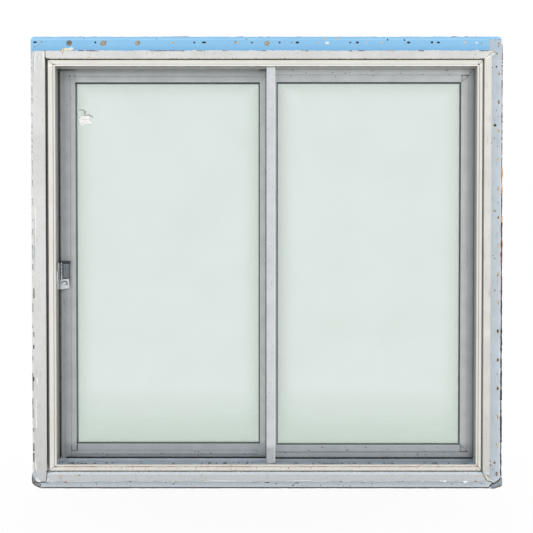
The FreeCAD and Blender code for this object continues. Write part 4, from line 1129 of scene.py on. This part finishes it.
# Flecks of old paint and wood along the joint under the head's fin
joint = (
    ("red_brown_flecks", "#7C4038", ((78.6, 84), (86, 99.5), (478.5, 488.6), (348.4, 351.6), (357.6, 364.6))),
    ("brown_flecks", "#8A6A50", ((43.8, 46), (150, 167.5), (169, 184.5), (262, 266), (418, 424))),
    ("beige_flecks", "#CDB795", ((196, 205), (222, 228), (301, 309), (386, 394))),
)
for name, code, runs in joint:
    paths = [ragged((first, 50.8), (last, 50.9), 2.2, 0.16, int(first)) for first, last in runs]
    beads(name, patchy(name, code, 0.8, ("#4B342B", 5, 0.56, 0.66)), FRONT + 0.2 * MM, 2.2, paths, 0.5)

# Dusty black weather pile that paints the shadow in the gaps: under the sash and the fixed light, in the lock side's
# pocket and beside the mullion
shadow_pile_finish = patchy("weather_pile_painted_shadow", "#1F2122", 0.95, ("#3D4143", 6, 0.5, 0.65))
rail_top = highest("sill_rail").z
shadow_piles = (
    ("shadow_pile_on_sill_rail", (-0.540, 0.0079, rail_top - 0.1 * MM), (0.5535, 0.0235, rail_top + 0.5 * MM), "Z"),
    ("shadow_pile_under_fixed_light", (0.0245, 0.0074, 0.0624), (0.5535, 0.0081, 0.0660), "Z"),
    ("shadow_pile_in_pocket", (-0.5620, 0.0267, 0.058), (-0.5580, 0.0305, 1.104), "X"),
)
for name, low, high, axis in shadow_piles:
    torn_strip(name, shadow_pile_finish, low, high, axis, 0.5 * MM, 2 * MM)
torn_strip("shadow_pile_by_mullion", GREY, (-0.0022, 0.0236, 0.058), (0.0004, 0.0258, 1.104), "X", 0.5 * MM, 2 * MM)

# Chips of sealant and rust along the joint under the sill's casing, and stains on its face
chips = (
    (
        "white_chips",
        GLOSSY,
        [
            (444.5, 481.2, 4.6, 1.5),
            (440.6, 480.8, 2.2, 1.0),
            (465.3, 481.8, 4.0, 2.2),
            (221.5, 481.0, 30.0, 0.7),
            (300.0, 480.8, 22.0, 0.6),
            (47.9, 480.0, 1.4, 2.6),
        ],
    ),
    (
        "brown_chips",
        BROWN,
        [
            (475.4, 481.4, 2.6, 1.2),
            (65.6, 482.1, 3.0, 1.3),
            (61.0, 478.0, 1.6, 0.8),
            (79.4, 475.2, 2.6, 0.9),
            (96.0, 482.6, 1.4, 1.2),
            (130.5, 481.6, 2.2, 1.0),
            (176.0, 481.9, 1.6, 1.0),
            (341.0, 481.7, 2.0, 1.0),
            (402.6, 481.6, 1.8, 1.0),
        ],
    ),
    (
        "yellow_smudges",
        BEIGE,
        [(60.6, 475.6, 5.0, 1.0), (476.5, 476.2, 2.2, 0.9), (88.5, 57.2, 4.2, 1.0), (40.0, 467.6, 1.4, 0.8)],
    ),
)
for name, finish, places in chips:
    marks(name, finish, FRONT - 0.05 * MM, 0.3 * MM, places, 8)

# Holes, nail heads and scars on the bare right fin
fin_marks = (
    (
        "dirty_holes",
        OLD_WOOD,
        [
            (496.9, 53.7, 2.3, 2.3),
            (495.1, 125.2, 3.2, 3.0),
            (496.4, 474.0, 2.2, 2.6),
            (494.8, 211.0, 3.0, 2.5),
        ],
    ),
    (
        "open_holes",
        DARK,
        [
            (495.1, 125.2, 2.2, 1.9),
            (496.5, 66.4, 1.9, 1.0),
            (496.4, 67.4, 1.3, 0.8),
            (492.5, 67.5, 1.0, 1.0),
            (490.4, 39.7, 1.0, 0.8),
            (495.5, 39.9, 1.2, 0.8),
            (499.3, 39.5, 1.3, 0.7),
            (498.6, 43.6, 1.2, 0.9),
            (498.3, 46.2, 1.1, 0.8),
            (496.4, 110.4, 0.9, 1.0),
            (494.3, 138.4, 1.0, 0.9),
            (497.9, 146.5, 1.0, 1.0),
            (492.5, 469.5, 0.9, 0.9),
            (493.3, 255.8, 1.0, 1.0),
            (494.6, 258.4, 1.1, 1.1),
            (498.0, 331.2, 1.5, 3.2),
            (498.0, 359.9, 1.5, 3.0),
            (497.9, 388.4, 1.5, 3.0),
            (494.8, 290.3, 1.2, 1.2),
            (496.5, 472.6, 1.6, 0.9),
            (496.4, 475.5, 1.4, 0.9),
            (276.2, 483.6, 1.4, 1.3),
            (294.6, 483.6, 1.2, 1.0),
            (292.9, 485.4, 1.5, 1.3),
            (297.6, 482.9, 1.6, 1.2),
            (268.0, 482.4, 2.4, 1.1),
            (254.0, 482.6, 1.0, 0.9),
        ],
    ),
    (
        "rust_spots",
        BROWN,
        [
            (490.6, 465.3, 1.3, 2.2),
            (490.1, 461.0, 1.1, 1.8),
            (489.3, 475.0, 1.5, 2.0),
            (491.4, 143.0, 1.1, 2.2),
            (494.5, 462.7, 2.2, 2.6),
            (494.5, 52.1, 1.2, 1.0),
            (492.1, 50.1, 1.2, 0.8),
            (489.8, 50.6, 1.3, 0.9),
        ],
    ),
    ("dull_chips", BROWNISH, [(266.6, 482.0, 5.2, 1.5)]),
    ("yellow_stains", CREAM, [(496.0, 298.4, 1.8, 1.6), (491.2, 114.5, 1.2, 2.6), (494.6, 462.8, 1.2, 1.4), (496.3, 474.1, 1.2, 1.6)]),
)
for name, finish, places in fin_marks:
    marks(name, finish, FIN_FRONT + 0.1 * MM, 0.3 * MM, places, 7)
scrap = [[(495.9, 415.6, 0.6), (496.1, 417.4, 1.3), (496.6, 419.4, 0.6)]]
beads("white_scrap_on_fin", WHITE, FIN_FRONT - 0.1 * MM, 2.8, scrap, 0.4)
plate_edges = [
    [(489.6, 39.7), (490.2, 40.2), (490.1, 44.5, 0.7), (490.2, 49.2)],
    [(490.2, 39.8), (494.6, 39.6, 0.7), (499.6, 39.7), (501.2, 41.6, 0.6)],
]
beads("corner_plate_edges", CREAM, FIN_FRONT - 0.1 * MM, 1.4, plate_edges, 0.3)

# Paper torn off the left pane, its upper edges rolled up
PANE_FRONT = lowest("sash_glass").y - 0.05 * MM
leaf = [(79.6, 115.4), (82.3, 115.9), (86.5, 116.2), (88.8, 115.8), (89.4, 117.6), (89.7, 120.6), (92.4, 124.0)]
leaf += [(90.4, 124.3), (88.2, 123.7), (85.2, 124.2), (83.4, 125.8), (80.8, 125.8), (80.4, 123.6), (79.2, 120.6)]
leaf += [(78.9, 119.0), (80.3, 117.8), (79.2, 116.8)]
paper = start_plate("torn_paper", [at(*spot_of, PANE_FRONT) for spot_of in leaf], 0.3 * MM)
keep(paper, PAPER)
residue = [(77.9, 111.2), (80.2, 110.3), (82.8, 110.6), (83.6, 112.6), (82.8, 114.9), (79.6, 115.2), (78.0, 113.6)]
film_rest = start_plate("glue_residue", [at(*spot_of, PANE_FRONT) for spot_of in residue], 0.15 * MM)
keep(film_rest, RESIDUE)
rolls = [
    [(78.6, 110.3, 0.5), (81.0, 109.7, 0.8), (83.6, 110.2), (85.4, 111.2, 1.4), (85.0, 113.0, 1.2), (84.0, 114.8)],
    [(84.4, 115.2, 0.8), (86.6, 115.2), (88.6, 114.8), (91.0, 115.7, 1.3), (92.9, 117.4, 0.9)],
]
beads("paper_rolls", ROLLED, PANE_FRONT - 0.3 * MM, 2.4, rolls, 0.6)
tears = [
    [(80.4, 117.8, 0.7), (80.9, 117.0), (80.6, 115.8, 0.6)],
    [(83.0, 125.4, 0.7), (84.6, 124.6)],
    [(89.4, 117.8), (89.7, 120.6, 0.6)],
]
beads("paper_tears", BEIGE, PANE_FRONT - 0.3 * MM, 1.2, tears, 0.3)
fold = [[(80.6, 119.4, 0.6), (84.5, 119.3), (87.6, 119.5, 0.6)]]
beads("paper_fold", SLATE, PANE_FRONT - 0.3 * MM, 1.0, fold, 0.3)

# Corner keys' outlines and the dirt in the joints of the sash and the fixed light
STILE_STEP = SASH_FRONT - 0.1 * MM
sash_joints = [
    [(77.3, 438.0, 0.7), (77.2, 444.5), (77.3, 450.2, 1.2)],
    [(72.2, 450.3), (77.3, 450.4, 0.8)],
    [(71.6, 446.0, 0.6), (71.8, 450.4)],
    [(79.0, 453.9, 0.3), (160.0, 453.8, 0.2), (257.0, 453.8, 0.4)],
]
beads("sash_joints", DARK_SHEATHING, STILE_STEP, 1.8, sash_joints, 0.3)
fixed_joints = [
    [(461.8, 75.5, 0.7), (465.0, 75.6), (468.5, 75.4, 0.9)],
    [(462.1, 74.8), (462.2, 81.0, 0.6)],
    [(468.8, 75.2, 0.8), (472.0, 71.4, 0.5), (475.2, 67.2, 0.8)],
    [(461.4, 82.2, 0.4), (465.0, 78.8, 0.6), (468.6, 75.4, 0.5)],
    [(460.3, 444.8, 0.7), (460.4, 448.0), (460.3, 451.6)],
    [(460.2, 451.6), (463.6, 451.5, 0.7), (466.8, 451.6)],
    [(459.2, 443.6, 0.8), (462.6, 447.0, 0.6), (466.6, 451.2)],
    [(467.6, 452.2, 0.5), (470.4, 454.8, 0.6), (472.8, 457.0, 0.8)],
    [(276.8, 452.3, 0.4), (370.0, 452.2, 0.3), (458.0, 452.0, 0.4)],
]
beads("fixed_light_joints", DARK_SHEATHING, FIXED_FRONT - 0.1 * MM, 1.3, fixed_joints, 0.3)
sash_dots = [(69.5, 76.0, 1.3, 1.3), (74.5, 76.0, 1.3, 1.2), (466.8, 451.6, 1.3, 1.0), (468.6, 75.3, 1.2, 1.0)]
marks("screw_holes", DARK, FIXED_FRONT - 0.1 * MM, 0.3 * MM, sash_dots, 3)

# The latch's details: a dark cap, painted highlights along its ribs, the tab's rim and the keeper's
# edge and bracket, the tab's embossed arc, and painted shadows beside the latch and the keeper
latch_front = lowest("latch_body").y - 0.05 * MM
thumb_front = lowest("latch_thumb").y - 0.05 * MM
cap = start_block(
    "latch_cap",
    at(69.5, 263.9, latch_front - 0.5 * MM) - Vector((11.4 * 2.65 * MM, 0, 0)),
    at(69.5, 260.9, latch_front - 0.5 * MM) + Vector((0, 10 * MM, 0)),
)
pick(cap, "EDGE", lambda points: all(p.y < latch_front for p in points))
bpy.ops.mesh.bevel(offset=1.0 * MM, segments=3, affect="EDGES")
keep(cap, CAP_AND_SHADOW)
ribs = [
    [(61.4, 262.6), (61.4, 264.4)],
    [(61.4, 265.6, 0.8), (61.4, 268.2, 0.9)],
    [(61.4, 269.4, 0.8), (61.4, 272.0, 0.8)],
    [(61.4, 272.9), (61.5, 274.6)],
    [(61.5, 275.4), (61.5, 278.9, 1.2)],
]
beads("latch_ribs", PALE_HIGHLIGHT, latch_front - 0.6 * MM, 2.4, ribs, 0.8)
worn_ribs = [
    [(66.6, 264.2, 1.3), (66.5, 267.0, 0.6)],
    [(66.5, 268.2, 0.8), (66.4, 272.6, 0.5)],
    [(66.5, 273.6, 0.6), (66.4, 276.8, 0.9)],
    [(64.2, 264.6, 0.6), (64.1, 276.2, 0.6)],
]
beads("worn_latch_ribs", SLATE, latch_front, 1.7, worn_ribs, 0.8)
# Painted shadows beside and under the latch and down the keeper
shades = [
    [(69.4, 263.6), (69.5, 276.0), (69.3, 287.2), (64.8, 289.9, 0.8), (60.6, 289.9, 0.6)],
    [(63.6, 264.8, 0.8), (63.5, 276.6, 0.8)],
    [(62.2, 278.2), (68.6, 278.0, 0.8)],
    [(60.1, 263.6), (60.0, 288.6)],
    [(56.9, 263.0, 0.5), (56.9, 289.0, 0.6)],
]
beads("latch_shades", CAP_AND_SHADOW, latch_front, 1.6, shades, 0.4)
rim = [
    [(60.7, 280.2), (60.5, 284.0), (60.6, 288.6)],
    [(60.6, 288.6), (64.6, 288.4), (68.7, 287.2)],
    [(68.7, 287.2, 0.7), (68.7, 283.0, 0.7), (68.7, 279.4, 0.8)],
    [(68.7, 279.4), (64.6, 279.5), (60.7, 280.2)],
]
beads("thumb_rim_highlight", PALE_HIGHLIGHT, thumb_front, 3.2, rim, 0.5)
arc = [[(61.5, 283.4, 0.7), (62.7, 281.6), (65.0, 281.0), (66.7, 282.2, 1.3), (67.6, 284.8, 0.9), (65.0, 284.4, 0.5)]]
beads("thumb_arc", CAP_AND_SHADOW, thumb_front - 0.3 * MM, 2.3, arc, 0.5)
# The keeper's edge and bracket carry painted highlights, with painted shadow beside them
worn = [[(57.4, 271.8, 0.8), (57.5, 276.0, 1.1), (57.4, 281.0, 0.8)]]
beads("keeper_edge_highlight", PALE_HIGHLIGHT, lowest("latch_keeper").y, 2.0, worn, 0.5)
beads("keeper_bracket_highlight", PALE_HIGHLIGHT, -4.1 * MM, 1.8, [[(58.7, 262.6), (58.6, 270.4, 0.7)]], 0.5)
beads("keeper_shade", CAP_AND_SHADOW, 5.7 * MM, 2.4, [[(60.1, 262.8), (60.1, 289.0)]], 0.5)
beads("keeper_edge_shade", CAP_AND_SHADOW, lowest("latch_keeper").y - 0.2 * MM, 1.7, [[(57.1, 262.0), (57.1, 270.8)]], 0.5)

# Specks and damp dirt on the sill's fin, on the ledge before the rail and across the faces
fin_specks = strewn((42, 484.2), (488, 484.2), 60, 1.7, 0.9, 5)
marks("sill_fin_specks", BROWNISH, FIN_FRONT + 0.1 * MM, 0.3 * MM, fin_specks[:40], 9)
marks("dark_fin_specks", DARK_SHEATHING, FIN_FRONT + 0.1 * MM, 0.3 * MM, fin_specks[40:], 10)
ledge_dirt = strewn((60, 463.1), (474, 463.1), 46, 0.35, 3.2, 6)
ledge_dirt = [(across, down, wide, 0.9) for across, down, wide, high in ledge_dirt]
ledge_dirt += [(72.5, 463.2, 5.0, 1.2), (77.6, 463.0, 3.4, 1.0), (466.0, 463.2, 6.0, 1.1)]
marks("damp_dirt_on_ledge", WET_SLATE, FRONT + 2 * MM, 1.0 * MM, ledge_dirt, 12)
casing_specks = strewn((50, 54), (480, 54), 18, 2.4, 0.6, 14) + strewn((50, 476), (480, 476), 26, 2.4, 0.7, 15)
casing_specks += strewn((39.5, 62), (39.5, 470), 26, 3.6, 0.6, 16) + strewn((487, 66), (487, 468), 18, 1.8, 0.6, 17)
marks("casing_specks", BROWNISH, FRONT - 0.05 * MM, 0.2 * MM, casing_specks, 18)
foot_specks = strewn((80, 453), (258, 453), 26, 2.2, 1.2, 19)
marks("sash_rail_specks", DARK_SHEATHING, SASH_FRONT - 0.1 * MM, 0.3 * MM, foot_specks, 20)
rail_specks = strewn((284, 451), (458, 451), 26, 4.0, 1.1, 21) + strewn((284, 74), (458, 74), 18, 4.0, 0.9, 22)
marks("fixed_rail_specks", DARK_SHEATHING, FIXED_FRONT - 0.1 * MM, 0.3 * MM, rail_specks, 23)
mullion_specks = strewn((270.5, 70), (270.5, 460), 34, 2.8, 0.7, 24)
# A painted shadow under the mullion's foot
base = [[(266.6, 463.7, 1.6), (275.9, 463.7, 1.6)], [(266.0, 460.6, 0.5), (269.4, 459.2, 0.6), (273.0, 457.6, 0.5)]]
beads("mullion_foot_shadow", GREY, lowest("fixed_mullion").y - 0.2 * MM, 1.4, base, 0.4)
marks("mullion_specks", GREY, lowest("fixed_mullion").y - 0.05 * MM, 0.2 * MM, mullion_specks, 25)
stile_specks = strewn((68, 90), (68, 445), 30, 3.6, 0.7, 26) + strewn((261, 90), (261, 445), 18, 1.4, 0.6, 27)
marks("stile_specks", GREY, SASH_FRONT - 0.05 * MM, 0.2 * MM, stile_specks, 28)

# Studio: a pale floor, a white surround and a soft lamp on each side of the camera

# 1 for a ray that shows the backdrop: straight to the camera, off a gloss or through glass
def shown(tree):
    rays = tree.nodes.new("ShaderNodeLightPath")
    mask = rays.outputs["Is Camera Ray"]
    for kind in ("Is Glossy Ray", "Is Transmission Ray"):
        pair = {"Value": mask, "Value_001": rays.outputs[kind]}
        mask = add(tree, "Math", {"operation": "MAXIMUM"}, pair)
    return mask


def white_surround():
    world = bpy.data.worlds.new("white_surround")
    bpy.context.scene.world = world
    world.use_nodes = True
    tree = world.node_tree
    strength = add(tree, "MapRange", {}, {"Value": shown(tree), "To Min": 0.84, "To Max": 1.0})
    backdrop = tree.nodes["Background"]
    backdrop.inputs["Color"].default_value = (1, 1, 1, 1)
    tree.links.new(strength, backdrop.inputs["Strength"])


def soft_lamp(name, place, aim, size, watts):
    lamp = bpy.data.lights.new(name, "AREA")
    lamp.size = size
    lamp.energy = watts
    holder = bpy.data.objects.new(name, lamp)
    bpy.context.scene.collection.objects.link(holder)
    towards = Vector(aim) - Vector(place)
    turn = towards.to_track_quat("-Z", "Y").to_matrix().to_4x4()
    holder.matrix_world = Matrix.Translation(place) @ turn


# The floor shows the object's shadow close by and fades into the white surround further out
def pale_floor():
    bpy.ops.object.select_all(action="DESELECT")
    bpy.ops.mesh.primitive_plane_add(size=16, location=(0, 0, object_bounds()[0][2] - 0.0005))
    floor = bpy.context.object
    floor.name = "pale_floor"
    material, tree, shader = finish_of("white_paper_floor", Roughness=0.9)
    shader.inputs["Base Color"].default_value = linear("#F4F4F3")
    glow = add(tree, "Emission", {}, {"Color": (1, 1, 1, 1), "Strength": 1.0})
    place = add(tree, "TexCoord", {}, {}, "Object")
    away = add(tree, "VectorMath", {"operation": "LENGTH"}, {"Vector": place}, "Value")
    fade = {"Value": away, "From Min": 0.3, "From Max": 1.0, "To Min": 0.9, "To Max": 1.0}
    share = both(tree, shown(tree), add(tree, "MapRange", {}, fade))
    shaders = {"Fac": share, "Shader": shader.outputs[0], "Shader_001": glow}
    surface = add(tree, "MixShader", {}, shaders)
    tree.links.new(surface, tree.nodes["Material Output"].inputs["Surface"])
    floor.data.materials.append(material)
    floor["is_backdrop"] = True


white_surround()
soft_lamp("key", (-3.0, -3.2, 1.9), (0, 0, 0.6), 1.4, 26)
soft_lamp("fill", (3.0, -3.2, 1.5), (0, 0, 0.6), 1.4, 22)
pale_floor()

camera_data = bpy.data.cameras.new("photo_camera")
camera_data.sensor_width = SENSOR
camera_data.lens = SENSOR * CAMERA_DISTANCE / (PHOTO_SIZE * MM_PER_PIXEL * MM)
camera_data.shift_x = (PHOTO_SIZE / 2 - OPENING_CENTRE[0]) / PHOTO_SIZE
rise = camera_data.lens / SENSOR * math.tan(CAMERA_PITCH)
camera_data.shift_y = rise - (PHOTO_SIZE / 2 - OPENING_CENTRE[1]) / PHOTO_SIZE
camera = bpy.data.objects.new("photo_camera", camera_data)
camera.location = (0, FRONT - CAMERA_DISTANCE, MIDDLE_Z)
camera.rotation_euler = (math.radians(90) - CAMERA_PITCH, 0, 0)
bpy.context.scene.collection.objects.link(camera)
bpy.context.scene.camera = camera
bpy.context.scene.view_settings.view_transform = "Standard"
